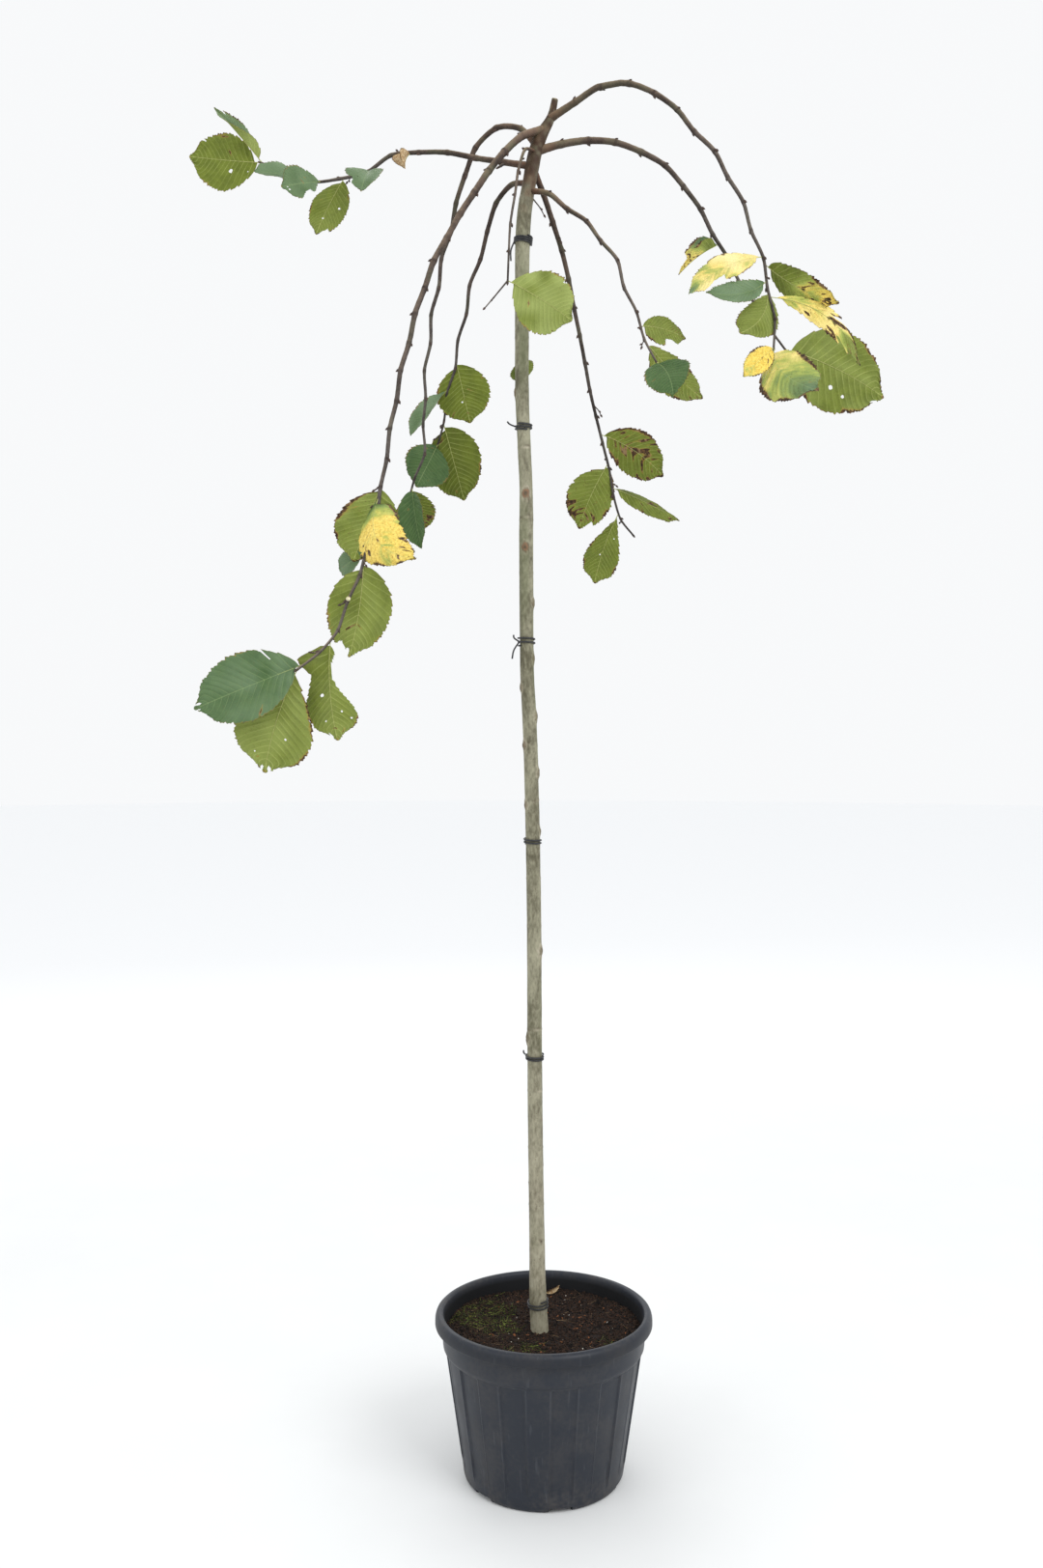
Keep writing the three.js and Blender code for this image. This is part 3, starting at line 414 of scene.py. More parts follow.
def limb_curve(heading, veer, stations):
    """A limb's centre line: smooth through its stations, then bent a little at every bud."""
    foot = trunk_at(stations[0][1])[0]
    furthest = max(out for out, _ in stations)
    run = Spline([
        foot * (1, 1, 0) + bearing(heading + veer * out / furthest) * out + UP * height
        for out, height in stations
    ], 0.5, 200)
    across = bearing(heading + 90)
    turn = math.radians(ZIGZAG_TURN)
    count = round(run.length / INTERNODE)
    buds = []
    for i in range(count + 1):
        share = i / count
        in_plane = unit(np.cross(run.tangent(share), across))
        sway = in_plane * math.cos(turn) + across * math.sin(turn)
        amount = ZIGZAG * (1 if i % 2 else -1) * smooth(share, 0.12, 0.45) * (i < count)
        buds.append(run.here(share) + sway * amount)
    return Spline(buds, SHOOT_TENSION, 40 * count), across, count


CURVES = {name: limb_curve(heading, veer, stations)
          for name, (heading, veer, _, _, stations) in LIMBS.items()}


def limb_radius(name, distance):
    thick, thin = LIMBS[name][2]
    length = CURVES[name][0].length
    share = np.clip(np.asarray(distance, float) / length, 0, 1) ** 0.8
    return (thick + (thin - thick) * share) * (1 + COLLAR_SWELL * np.exp(-distance / COLLAR_REACH))


def place_back(name, back):
    """The point and direction of a limb at a distance back from its tip."""
    curve = CURVES[name][0]
    share = 1 - back / curve.length
    return curve.here(share), curve.tangent(share)


def random_stream(seed):
    """The source's repeatable stream of numbers from 0 to 1."""
    full = 0xFFFFFFFF
    state = seed & full
    while True:
        state = (state + 0x6D2B79F5) & full
        mixed = ((state ^ (state >> 15)) * (state | 1)) & full
        mixed ^= (mixed + (((mixed ^ (mixed >> 7)) * (mixed | 61)) & full)) & full
        yield (mixed ^ (mixed >> 14)) / (full + 1)


def blade_half_width(share, side, full):
    """Half a blade's width, as a share of its widest. One side starts a little further out, as
    on every elm leaf."""
    start = np.where(side > 0, 0, 0.05)
    u = np.clip((share - start) / (1 - start), 0, 1)
    body = np.abs(np.sin(np.pi * u ** (math.log(0.5) / math.log(full)))) ** 0.62
    return np.where(u >= 1, 0, 0.5 * body * (1 - 0.5 * smooth(u, 0.84, 0.96)))


def leaf_points(row, root, share, across, teeth=0.0, lift=0.0):
    """Points of a leaf: share runs along it and across from -1 to 1 over the blade. teeth and
    lift are added outwards and upwards, in millimetres."""
    share, across = np.broadcast_arrays(np.asarray(share, float), np.asarray(across, float))
    length = np.linalg.norm(row["tip"])
    along = row["tip"] / length
    facing = unit(FRONT - along * (FRONT @ along))
    axis = np.broadcast_to(along, share.shape + (3,))
    turn = np.radians(row["face"] + row["twist"] * share)
    upper = turned_about(np.broadcast_to(facing, axis.shape), axis, turn)
    side = np.cross(axis, upper)
    middle = np.radians(np.array(row["face"] + row["twist"] * 0.5))
    middle_upper = turned_about(facing, along, middle)
    middle_side = np.cross(along, middle_upper)
    parabola = (4 * share * (1 - share))[..., None]
    arch = length / 2 * math.tan(math.radians(row["bend"]) / 4)
    blade = np.clip((share - STALK) / (1 - STALK), 0, None)
    half = np.maximum(row["width"] * blade_half_width(blade, np.sign(across), row["full"]), 0.5)
    reach = np.abs(across)
    slope = np.radians(row["fold"] + row["cup"] * reach / 2)
    outward = half * reach + teeth
    return (root + axis * (length * share)[..., None]
            + (middle_upper * arch + middle_side * row["bow"]) * parabola
            + side * (np.sign(across) * outward * np.cos(slope))[..., None]
            + upper * (outward * np.sin(slope) + lift)[..., None])


# ---------------------------------------------------------------- making meshes


class Shape:
    """Points and faces gathered in millimetres before they become one piece."""

    def __init__(self):
        self.points, self.faces, self.slots, self.uvs, self.values = [], [], [], [], []
        self.count = 0

    def add(self, points, faces, slot=0, uvs=None, **values):
        """Faces are index arrays, of triangles or quads; uvs maps a name to corner places."""
        points = np.asarray(points, float).reshape(-1, 3)
        faces = np.asarray(faces, int)
        self.points.append(points)
        self.faces.append(faces + self.count)
        self.slots.append(np.full(len(faces), slot))
        self.uvs.append(uvs or {})
        self.values.append({k: np.broadcast_to(v, len(points)) for k, v in values.items()})
        self.count += len(points)

    def grid(self, points, wrap=False, slot=0, **values):
        """A sheet of quads over rows of points; wrap joins the last column to the first."""
        rows, columns = points.shape[:2]
        self.add(points, grid_faces(rows, columns, wrap), slot,
                 **{k: np.broadcast_to(v, (rows, columns)).ravel() for k, v in values.items()})

    def object(self, name, materials, sharp=None):
        mesh = bpy.data.meshes.new(name)
        points = np.concatenate(self.points) * MILLIMETRE
        sizes = np.concatenate([np.full(len(f), f.shape[1]) for f in self.faces])
        mesh.vertices.add(len(points))
        mesh.vertices.foreach_set("co", points.ravel())
        corners = np.concatenate([f.ravel() for f in self.faces])
        mesh.loops.add(len(corners))
        mesh.loops.foreach_set("vertex_index", corners)
        mesh.polygons.add(len(sizes))
        mesh.polygons.foreach_set("loop_start", np.concatenate([[0], np.cumsum(sizes)[:-1]]))
        mesh.polygons.foreach_set("material_index", np.concatenate(self.slots))
        for key in dict.fromkeys(k for uvs in self.uvs for k in uvs):
            places = [u[key] if key in u else np.full((f.size, 2), 0.5)
                      for u, f in zip(self.uvs, self.faces)]
            layer = mesh.uv_layers.new(name=key)
            layer.uv.foreach_set("vector", np.concatenate(places).astype(np.float32).ravel())
        for key in dict.fromkeys(k for values in self.values for k in values):
            column = [v.get(key, np.zeros(len(p))) for v, p in zip(self.values, self.points)]
            layer = mesh.attributes.new(key, "FLOAT", "POINT")
            layer.data.foreach_set("value", np.concatenate(column).astype(np.float32))
        mesh.update(calc_edges=True)
        mesh.shade_smooth()
        if sharp is not None:
            mesh.set_sharp_from_angle(angle=math.radians(sharp))
        for material in materials:
            mesh.materials.append(material)
        return new_object(name, mesh)


def new_object(name, data):
    """An object that holds the data, linked into the scene."""
    made = bpy.data.objects.new(name, data)
    bpy.context.collection.objects.link(made)
    return made


def grid_faces(rows, columns, wrap=False):
    """Quads over a grid whose normals point along rows x columns."""
    i, j = np.meshgrid(np.arange(rows - 1), np.arange(columns if wrap else columns - 1),
                       indexing="ij")
    a = i * columns + j
    b = i * columns + (j + 1) % columns
    return np.stack([a, b, b + columns, a + columns], -1).reshape(-1, 4)


def tube(shape, centres, radii, across, sides, slot=0, **values):
    """A closed tube along centres; radii holds one number a row, or one a row and side."""
    centres = np.asarray(centres, float)
    tangents = unit(np.gradient(centres, axis=0))
    first = unit(across - tangents * np.sum(across * tangents, -1, keepdims=True))
    second = np.cross(first, tangents)
    turn = np.linspace(0, 2 * np.pi, sides, endpoint=False)
    radii = np.asarray(radii, float)
    radii = radii[:, None] if radii.ndim == 1 else radii
    spokes = (first[:, None] * np.cos(turn)[:, None] + second[:, None] * np.sin(turn)[:, None])
    points = centres[:, None] + spokes * np.broadcast_to(radii, (len(centres), sides))[..., None]
    shape.grid(points, wrap=True, slot=slot, **values)
    for row, order in ((points[0], 1), (points[-1], -1)):
        fan = [(0, k, k + 1)[::order] for k in range(1, sides - 1)]
        shape.add(row, fan, slot, **{k: np.ravel(v)[0] for k, v in values.items()})


def sideways_of(direction):
    direction = unit(direction)
    return unit(np.cross(direction, UP if abs(direction[2]) < 0.8 else FRONT))


def finish_piece(made, slot, *nodes):
    """Rides the piece on the body and hides the CAD nodes it stands for. Its slot is not used."""
    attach(made, "root")
    if nodes:
        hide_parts(*nodes)


# ---------------------------------------------------------------- building node trees


class Graph:
    """Adds nodes to a tree, with their inputs given as values or as other nodes' sockets."""

    def __init__(self, tree):
        self.tree = tree

    def add(self, kind, inputs=None, **settings):
        made = self.tree.nodes.new(kind)
        for key, value in settings.items():
            setattr(made, key, value)
        for key, value in (inputs or {}).items():
            self.put(made.inputs[key], value)
        return made

    def out(self, kind, inputs=None, output=0, **settings):
        """Adds a node and gives one of its outputs."""
        return self.add(kind, inputs, **settings).outputs[output]

    def put(self, socket, value):
        if isinstance(value, bpy.types.NodeSocket):
            self.tree.links.new(value, socket)
        else:
            socket.default_value = rgba(value) if socket.type == "RGBA" else value

    def mix(self, factor, first, second):
        return self.out("ShaderNodeMix", {0: factor, 6: first, 7: second}, 2, data_type="RGBA")

    def math(self, operation, first, second=0.0, clamp=False):
        return self.out("ShaderNodeMath", {0: first, 1: second}, operation=operation,
                        use_clamp=clamp)

    def times(self, first, second, clamp=False):
        return self.math("MULTIPLY", first, second, clamp)

    def plus(self, first, second, clamp=False):
        return self.math("ADD", first, second, clamp)

    def vector(self, operation, inputs, output=0):
        return self.out("ShaderNodeVectorMath", inputs, output, operation=operation)

    def step(self, value, low, high, start=0.0, end=1.0):
        """A soft step from start to end as the value goes from low to high."""
        return self.out("ShaderNodeMapRange", {
            "Value": value, "From Min": low, "From Max": high, "To Min": start, "To Max": end,
        }, interpolation_type="SMOOTHSTEP")

    def noise(self, vector, scale, detail=3.0, rough=0.5):
        return self.out("ShaderNodeTexNoise", {
            "Vector": vector, "Scale": scale, "Detail": detail, "Roughness": rough,
        })

    def stretched(self, vector, scale):
        return self.out("ShaderNodeMapping", {"Vector": vector, "Scale": scale})

    def group(self, name, maker, inputs):
        """The outputs of a node group, which is made the first time it is asked for."""
        tree = bpy.data.node_groups.get(name) or maker()
        return self.add("ShaderNodeGroup", inputs, node_tree=tree).outputs

    def attribute(self, name):
        return self.out("ShaderNodeAttribute", output="Fac", attribute_name=name)


KINDS = {
    "float": "NodeSocketFloat", "colour": "NodeSocketColor", "vector": "NodeSocketVector",
    "geometry": "NodeSocketGeometry", "object": "NodeSocketObject", "count": "NodeSocketInt",
    "material": "NodeSocketMaterial",
}


def make_tree(name, kind, inputs, outputs):
    """A node tree with named sockets, its graph, and its input and output nodes."""
    tree = bpy.data.node_groups.new(name, kind)
    for label, socket, default in inputs:
        made = tree.interface.new_socket(label, in_out="INPUT", socket_type=KINDS[socket])
        if default is not None:
            made.default_value = rgba(default) if socket == "colour" else default
    for label, socket in outputs:
        tree.interface.new_socket(label, in_out="OUTPUT", socket_type=KINDS[socket])
    graph = Graph(tree)
    return tree, graph, graph.add("NodeGroupInput").outputs, graph.add("NodeGroupOutput").inputs


def rgba(colour):
    return (*colour, 1.0)


def srgb(red, green, blue):
    """A colour given as a paint chart gives it, from 0 to 255, as the shader wants it."""
    return tuple(
        c / 12.92 if c <= 0.04045 else ((c + 0.055) / 1.055) ** 2.4
        for c in (red / 255, green / 255, blue / 255)
    )


def weathering_group():
    """Dust in hollows and streaks, laid over a base colour."""
    tree, graph, given, out = make_tree("Weathering", "ShaderNodeTree", [
        ("Vector", "vector", None), ("Base", "colour", (0.5, 0.5, 0.5)),
        ("Dust", "colour", (0.3, 0.27, 0.22)), ("Amount", "float", 0.3),
        ("Scale", "float", 12.0),
    ], [("Colour", "colour"), ("Mask", "float")])
    cloud = graph.noise(given["Vector"], given["Scale"], 5.0, 0.6)
    fine = graph.noise(given["Vector"], graph.times(given["Scale"], 9.0), 2.0)
    mixed = graph.plus(graph.times(cloud, 0.7), graph.times(fine, 0.3))
    mask = graph.times(graph.step(mixed, 0.42, 0.68), given["Amount"], clamp=True)
    graph.put(out["Colour"], graph.mix(mask, given["Base"], given["Dust"]))
    graph.put(out["Mask"], mask)
    return tree


def bark_group():
    """Young elm bark: light and dark patches, long wrinkles and small pores."""
    tree, graph, given, out = make_tree("Elm bark", "ShaderNodeTree", [
        ("Vector", "vector", None), ("Light", "colour", (0.3, 0.28, 0.2)),
        ("Dark", "colour", (0.12, 0.1, 0.08)), ("Pores", "colour", (0.3, 0.2, 0.1)),
        ("Patch scale", "float", 9.0), ("Grain scale", "float", 160.0),
        ("Pore cover", "float", 0.3),
    ], [("Colour", "colour"), ("Height", "float")])
    patches = graph.noise(given["Vector"], given["Patch scale"], 4.0, 0.6)
    grain = graph.noise(given["Vector"], given["Grain scale"], 3.0, 0.6)
    pores = graph.out("ShaderNodeTexVoronoi", {
        "Vector": graph.stretched(given["Vector"], (1, 1, 2.4)),
        "Scale": 230.0, "Randomness": 1.0,
    }, "Distance")
    chosen = graph.noise(given["Vector"], 90.0, 1.0)
    spots = graph.times(graph.step(pores, 0.3, 0.18), graph.step(chosen, 0.56, 0.62))
    spots = graph.times(spots, given["Pore cover"], clamp=True)
    shade = graph.plus(graph.times(patches, 0.65), graph.times(grain, 0.35))
    base = graph.mix(graph.step(shade, 0.36, 0.64), given["Dark"], given["Light"])
    graph.put(out["Colour"], graph.mix(spots, base, given["Pores"]))
    graph.put(out["Height"], graph.plus(grain, graph.times(spots, 0.8)))
    return tree


def vein_group():
    """Midrib, side veins and the fine net between them, from the blade's own map, whose first
    number is the distance from the midrib and whose second counts side veins."""
    tree, graph, given, out = make_tree("Leaf veins", "ShaderNodeTree", [
        ("Blade map", "vector", None), ("Vein width", "float", 0.06),
        ("Midrib width", "float", 0.012), ("Net", "float", 0.3),
    ], [("Veins", "float"), ("Midrib", "float"), ("Net", "float"), ("Height", "float")])
    parts = graph.add("ShaderNodeSeparateXYZ", {0: given["Blade map"]}).outputs
    off = graph.math("ABSOLUTE", parts["X"])
    wobble = graph.noise(given["Blade map"], 2.2, 1.0)
    run = graph.plus(parts["Y"], graph.times(wobble, 0.22))
    nearest = graph.math("ABSOLUTE", graph.math("SUBTRACT", graph.math(
        "FRACT", graph.plus(run, 0.42)), 0.5))
    fade = graph.step(off, 0.46, 0.12, 0.35, 1.0)
    veins = graph.times(graph.step(
        nearest, given["Vein width"], graph.times(given["Vein width"], 0.3)), fade)
    midrib = graph.step(off, given["Midrib width"], graph.times(given["Midrib width"], 0.4))
    cells = graph.out("ShaderNodeTexVoronoi", {
        "Vector": graph.stretched(given["Blade map"], (26, 3.2, 1)), "Scale": 1.0,
    }, "Distance", feature="DISTANCE_TO_EDGE")
    net = graph.times(graph.step(cells, 0.12, 0.02), given["Net"])
    graph.put(out["Veins"], veins)
    graph.put(out["Midrib"], midrib)
    graph.put(out["Net"], net)
    graph.put(out["Height"], graph.math("MAXIMUM", graph.math("MAXIMUM", veins, midrib), net))
    return tree


# Colours that the settings don't change. Pairs are mixed in fine grain.
LICHEN, HEALED = srgb(116, 122, 90), srgb(136, 96, 70)
# Painted highlight on what faces the sky, and painted shade on what faces down.
PAINTED_TOP_LIGHT, PAINTED_UNDER_SHADE = srgb(158, 138, 114), srgb(26, 20, 17)
TURNING, PALE_YELLOW = srgb(158, 172, 84), srgb(238, 228, 170)
YELLOWS = srgb(236, 208, 100), srgb(212, 178, 70)
DRY = srgb(158, 126, 88), srgb(204, 184, 146)
BROWNS = srgb(40, 29, 22), srgb(98, 70, 42)
FADED, PARCHED, FRECKLE = srgb(150, 124, 58), srgb(168, 140, 100), srgb(92, 66, 40)


def new_material(name, roughness=0.6, **sockets):
    """A material with its Principled shader; constant inputs are set on the shader itself."""
    made = bpy.data.materials.get(name)
    if made:
        return made, None, None
    made = bpy.data.materials.new(name)
    made.use_nodes = True
    shader = made.node_tree.nodes["Principled BSDF"]
    shader.inputs["Roughness"].default_value = roughness
    for key, value in sockets.items():
        shader.inputs[key.replace("_", " ")].default_value = value
    return made, Graph(made.node_tree), shader


def object_place(graph):
    return graph.out("ShaderNodeTexCoord", output="Object")


def bumped(graph, shader, height, strength, distance):
    graph.put(shader.inputs["Normal"], graph.out("ShaderNodeBump", {
        "Height": height, "Strength": strength, "Distance": distance,
    }, "Normal"))


def pot_plastic(look):
    """Dark plastic, dusty at the ground and the collar, scuffed, worn pale at its edges with
    painted highlights, and darkened inside by a stain and painted shade, with painted shade on the
    collar.
    """
    made, graph, shader = new_material("pot_plastic", Specular_IOR_Level=0.26)
    if graph is None:
        return made
    place = object_place(graph)
    height = graph.out("ShaderNodeSeparateXYZ", {0: place}, "Z")
    splash = graph.plus(graph.step(height, 0.06, 0.0, 0.0, 0.22),
                        graph.step(height, 0.318, 0.328, 0.0, 0.08))
    dusted = graph.group("Weathering", weathering_group, {
        "Vector": place, "Base": look.pot_colour, "Dust": look.dust_colour,
        "Amount": graph.plus(splash, 0.1), "Scale": 14.0,
    })
    scratches = graph.noise(graph.stretched(place, (1, 1, 0.05)), 120.0, 2.0)
    scuff = graph.step(scratches, 0.62, 0.74)
    colour = graph.mix(graph.times(scuff, 0.08), dusted["Colour"], look.scuff_colour)
    # Pale edges, partly worn and partly a painted highlight.
    rubbed_and_highlit = graph.times(graph.attribute("rub"), graph.step(
        graph.noise(place, 60.0), 0.3, 0.6, 0.4, 1.0))
    colour = graph.mix(rubbed_and_highlit, colour, look.scuff_colour)
    # Inside the pot, partly damp stain and partly painted shade; on the collar's face, painted
    # shade.
    colour = graph.mix(graph.attribute("inside"), colour, look.stain_and_shade_colour)
    graph.put(shader.inputs["Base Color"], colour)
    rough = graph.plus(graph.times(dusted["Mask"], 0.5),
                       graph.times(graph.noise(place, 22.0), 0.22))
    rough = graph.plus(rough, graph.times(graph.attribute("inside"), 0.25))
    graph.put(shader.inputs["Roughness"], graph.plus(rough, 0.3, clamp=True))
    skin = graph.plus(graph.noise(place, 340.0, 2.0), graph.times(scratches, 0.5))
    bumped(graph, shader, skin, 0.12, 0.0006)
    return made


def compost(name, dark, light, rough=0.95, split=(0.25, 0.8)):
    """Compost and what lies in it; shade is dealt out piece by piece."""
    made, graph, shader = new_material(name, rough, Specular_IOR_Level=0.25)
    if graph is None:
        return made
    place = object_place(graph)
    cloud = graph.noise(place, 95.0, 4.0, 0.65)
    share = graph.plus(graph.times(graph.attribute("shade"), 0.7), graph.times(cloud, 0.5))
    graph.put(shader.inputs["Base Color"], graph.mix(graph.step(share, *split), dark, light))
    bumped(graph, shader, graph.noise(place, 600.0, 3.0, 0.7), 0.6, 0.0008)
    return made


def bark(name, old, young, pores, scar, patch, stretch, cover, painted_light_and_shade=0.0):
    """Bark of the stem or of the limbs, each from a light and a dark colour; the scar value
    darkens knots and rings, and the callus value marks the healed wood round them. The painted
    light and shade value lightens what faces the sky as a painted highlight and darkens what faces
    down as painted shade."""
    made, graph, shader = new_material(name, 0.68, Specular_IOR_Level=0.25)
    if graph is None:
        return made
    place = graph.stretched(object_place(graph), stretch)
    youth = graph.attribute("youth")
    skin = graph.group("Elm bark", bark_group, {
        "Vector": place, "Light": graph.mix(youth, old[0], young[0]),
        "Dark": graph.mix(youth, old[1], young[1]), "Pores": pores,
        "Patch scale": patch, "Grain scale": 190.0, "Pore cover": cover,
    })
    aged = graph.mix(graph.times(graph.attribute("moss_tinge"), 0.5), skin["Colour"], LICHEN)
    aged = graph.mix(graph.attribute("callus"), aged, HEALED)
    # What faces the sky gets a painted highlight and what faces down gets painted shade.
    normal = graph.out("ShaderNodeNewGeometry", output="Normal")
    facing = graph.out("ShaderNodeSeparateXYZ", {0: normal}, "Z")
    aged = graph.mix(graph.step(facing, 0.0, 0.95, 0.0, painted_light_and_shade), aged, PAINTED_TOP_LIGHT)
    aged = graph.mix(graph.step(facing, 0.15, -0.75, 0.0, painted_light_and_shade), aged, PAINTED_UNDER_SHADE)
    graph.put(shader.inputs["Base Color"], graph.mix(graph.attribute("scar"), aged, scar))
    graph.put(shader.inputs["Roughness"], graph.step(skin["Height"], 0.2, 0.9, 0.55, 0.78))
    bumped(graph, shader, skin["Height"], 0.5, 0.0009)
    return made


def blade(name, fresh, bloom, veining, vein_strength, relief, rough, gloss):
    """One side of the leaves. The mesh carries each spot's yellowing, browning, bloom, painted
    shade and dryness.
    """
    made, graph, shader = new_material(name, rough, Specular_IOR_Level=gloss)
    if graph is None:
        return made
    blade_map = graph.out("ShaderNodeUVMap", uv_map="blade")
    place = object_place(graph)
    veins = graph.group("Leaf veins", vein_group, {
        "Blade map": blade_map, "Vein width": 0.062, "Midrib width": 0.011, "Net": 0.4,
    })
    cloud = graph.noise(place, 42.0, 4.0, 0.6)
    fine = graph.noise(place, 260.0, 3.0, 0.6)
    base = graph.mix(graph.step(cloud, 0.35, 0.7), *fresh)
    pale = graph.times(graph.attribute("bloom"), 0.8, clamp=True)
    base = graph.mix(pale, base, bloom)
    # Where the bloom value is below zero it paints shade, darkening the blade towards half its
    # dark colour.
    painted_shade = graph.times(graph.attribute("bloom"), -1.2, clamp=True)
    base = graph.mix(painted_shade, base, tuple(c * 0.5 for c in fresh[1]))
    # Yellow comes in clouds, by way of a pale green.
    turned = graph.plus(graph.attribute("yellowing"), graph.times(
        graph.times(graph.math("SUBTRACT", cloud, 0.5), 1.2),
        graph.attribute("yellowing")), clamp=True)
    yellow = graph.mix(graph.step(fine, 0.4, 0.62), *YELLOWS)
    yellow = graph.mix(pale, yellow, PALE_YELLOW)
    half = graph.mix(graph.step(turned, 0.0, 0.55), base, TURNING)
    base = graph.mix(graph.step(turned, 0.3, 0.95), half, yellow)
    for part, strength in (("Veins", 1), ("Midrib", 1.3), ("Net", 0.35)):
        there = graph.times(veins[part], vein_strength * strength, clamp=part == "Midrib")
        base = graph.mix(there, base, veining)
    dry = graph.mix(graph.step(fine, 0.35, 0.7), *DRY)
    dried = graph.mix(graph.attribute("dryness"), base, dry)
    # Brown spots have ragged edges with a faded zone round them.
    grit = graph.math("SUBTRACT", graph.plus(graph.times(cloud, 0.4),
                                             graph.times(fine, 0.6)), 0.5)
    edge = graph.plus(graph.attribute("browning"), graph.times(grit, 1.2))
    brown = graph.mix(graph.step(fine, 0.4, 0.68), *BROWNS)
    parched = graph.step(graph.noise(place, 100.0, 2.0), 0.52, 0.66, 0.0, 0.5)
    brown = graph.mix(parched, brown, PARCHED)
    faded = graph.mix(graph.step(edge, 0.24, 0.5, 0.0, 0.65), dried, FADED)
    colour = graph.mix(graph.step(edge, 0.46, 0.6), faded, brown)
    spots = graph.times(graph.step(graph.noise(place, 430.0, 1.0), 0.64, 0.7), 0.7)
    colour = graph.mix(graph.times(spots, graph.attribute("freckles")), colour, FRECKLE)
    graph.put(shader.inputs["Base Color"], colour)
    height = graph.plus(veins["Height"], graph.times(fine, 0.35))
    bumped(graph, shader, height, 0.35, relief)
    return made


def plain_finish(name, first, second, rough, scale=200.0, relief=0.3, **sockets):
    """A finish that varies a little between two colours."""
    made, graph, shader = new_material(name, rough, **sockets)
    if graph is None:
        return made
    cloud = graph.noise(object_place(graph), scale, 3.0, 0.6)
    graph.put(shader.inputs["Base Color"], graph.mix(
        graph.step(cloud, 0.35, 0.65), first, second))
    bumped(graph, shader, cloud, relief, 0.0005)
    return made


# ---------------------------------------------------------------- geometry node trees


def scatter_tree():
    """Scatters a chip over a surface, thicker where the surface's cover value is high. A chip
    whose far end would pass the wall radius is left out."""
    tree, graph, given, out = make_tree("Litter scatter", "GeometryNodeTree", [
        ("Surface", "geometry", None), ("Chip", "object", None), ("Density", "float", 1000.0),
        ("Smallest", "float", 0.6), ("Largest", "float", 1.4), ("Tilt", "float", 3.1),
        ("Far end", "vector", None), ("Wall radius", "float", 1.0), ("Seed", "count", 1),
        ("Finish", "material", None),
    ], [("Litter", "geometry")])
    cover = graph.out("GeometryNodeInputNamedAttribute", {"Name": "cover"}, "Attribute",
                      data_type="FLOAT")
    spread = graph.add("GeometryNodeDistributePointsOnFaces", {
        "Mesh": given["Surface"], "Density": graph.times(given["Density"], cover),
        "Seed": given["Seed"],
    }).outputs
    tilt = graph.out("ShaderNodeCombineXYZ", {0: given["Tilt"], 1: given["Tilt"], 2: math.pi})
    turn = graph.out("FunctionNodeRandomValue", {
        0: graph.vector("MULTIPLY", {0: tilt, 1: (-1, -1, -1)}), 1: tilt,
        "Seed": given["Seed"],
    }, data_type="FLOAT_VECTOR")
    rotation = graph.out("FunctionNodeRotateRotation", {
        "Rotation": spread["Rotation"],
        "Rotate By": graph.out("FunctionNodeEulerToRotation", {0: turn}),
    }, rotation_space="LOCAL")
    size = graph.out("FunctionNodeRandomValue", {
        2: given["Smallest"], 3: given["Largest"], "Seed": graph.plus(given["Seed"], 7.0),
    }, 1, data_type="FLOAT")
    far_end = graph.out("FunctionNodeRotateVector", {
        "Vector": graph.vector("SCALE", {0: given["Far end"], "Scale": size}),
        "Rotation": rotation,
    })
    reached = graph.vector("ADD", {0: graph.out("GeometryNodeInputPosition"), 1: far_end})
    level = graph.vector("MULTIPLY", {0: reached, 1: (1, 1, 0)})
    out_to = graph.vector("LENGTH", {0: level}, "Value")
    placed = graph.out("GeometryNodeInstanceOnPoints", {
        "Points": spread["Points"],
        "Selection": graph.math("LESS_THAN", out_to, given["Wall radius"]),
        "Instance": graph.out("GeometryNodeObjectInfo", {"Object": given["Chip"]}, "Geometry"),
        "Rotation": rotation, "Scale": size,
    })
    shade = graph.out("FunctionNodeRandomValue", {
        2: 0.0, 3: 1.0, "Seed": graph.plus(given["Seed"], 13.0),
    }, 1, data_type="FLOAT")
    stored = graph.out("GeometryNodeStoreNamedAttribute", {
        "Geometry": placed, "Name": "shade", "Value": shade,
    }, data_type="FLOAT", domain="INSTANCE")
    finish_tree(graph, stored, given["Finish"], out["Litter"])
    return tree


def finish_tree(graph, geometry, finish, out):
    real = graph.out("GeometryNodeRealizeInstances", {"Geometry": geometry})
    graph.put(out, graph.out("GeometryNodeSetMaterial", {"Geometry": real, "Material": finish}))


def bud_tree():
    """Sets a bud on each point, aimed along the point's aim and sized by its size."""
    tree, graph, given, out = make_tree("Bud set", "GeometryNodeTree", [
        ("Places", "geometry", None), ("Bud", "object", None), ("Fatness", "float", 1.0),
        ("Finish", "material", None),
    ], [("Buds", "geometry")])
    points = graph.out("GeometryNodeMeshToPoints", {"Mesh": given["Places"]})
    aim, size = (graph.out("GeometryNodeInputNamedAttribute", {"Name": name}, "Attribute",
                           data_type=kind)
                 for name, kind in (("aim", "FLOAT_VECTOR"), ("size", "FLOAT")))
    rotation = graph.out("FunctionNodeAlignRotationToVector", {"Vector": aim}, axis="Z")
    width = graph.times(size, given["Fatness"])
    placed = graph.out("GeometryNodeInstanceOnPoints", {
        "Points": points,
        "Instance": graph.out("GeometryNodeObjectInfo", {"Object": given["Bud"]}, "Geometry"),
        "Rotation": rotation,
        "Scale": graph.out("ShaderNodeCombineXYZ", {0: width, 1: width, 2: size}),
    })
    finish_tree(graph, placed, given["Finish"], out["Buds"])
    return tree


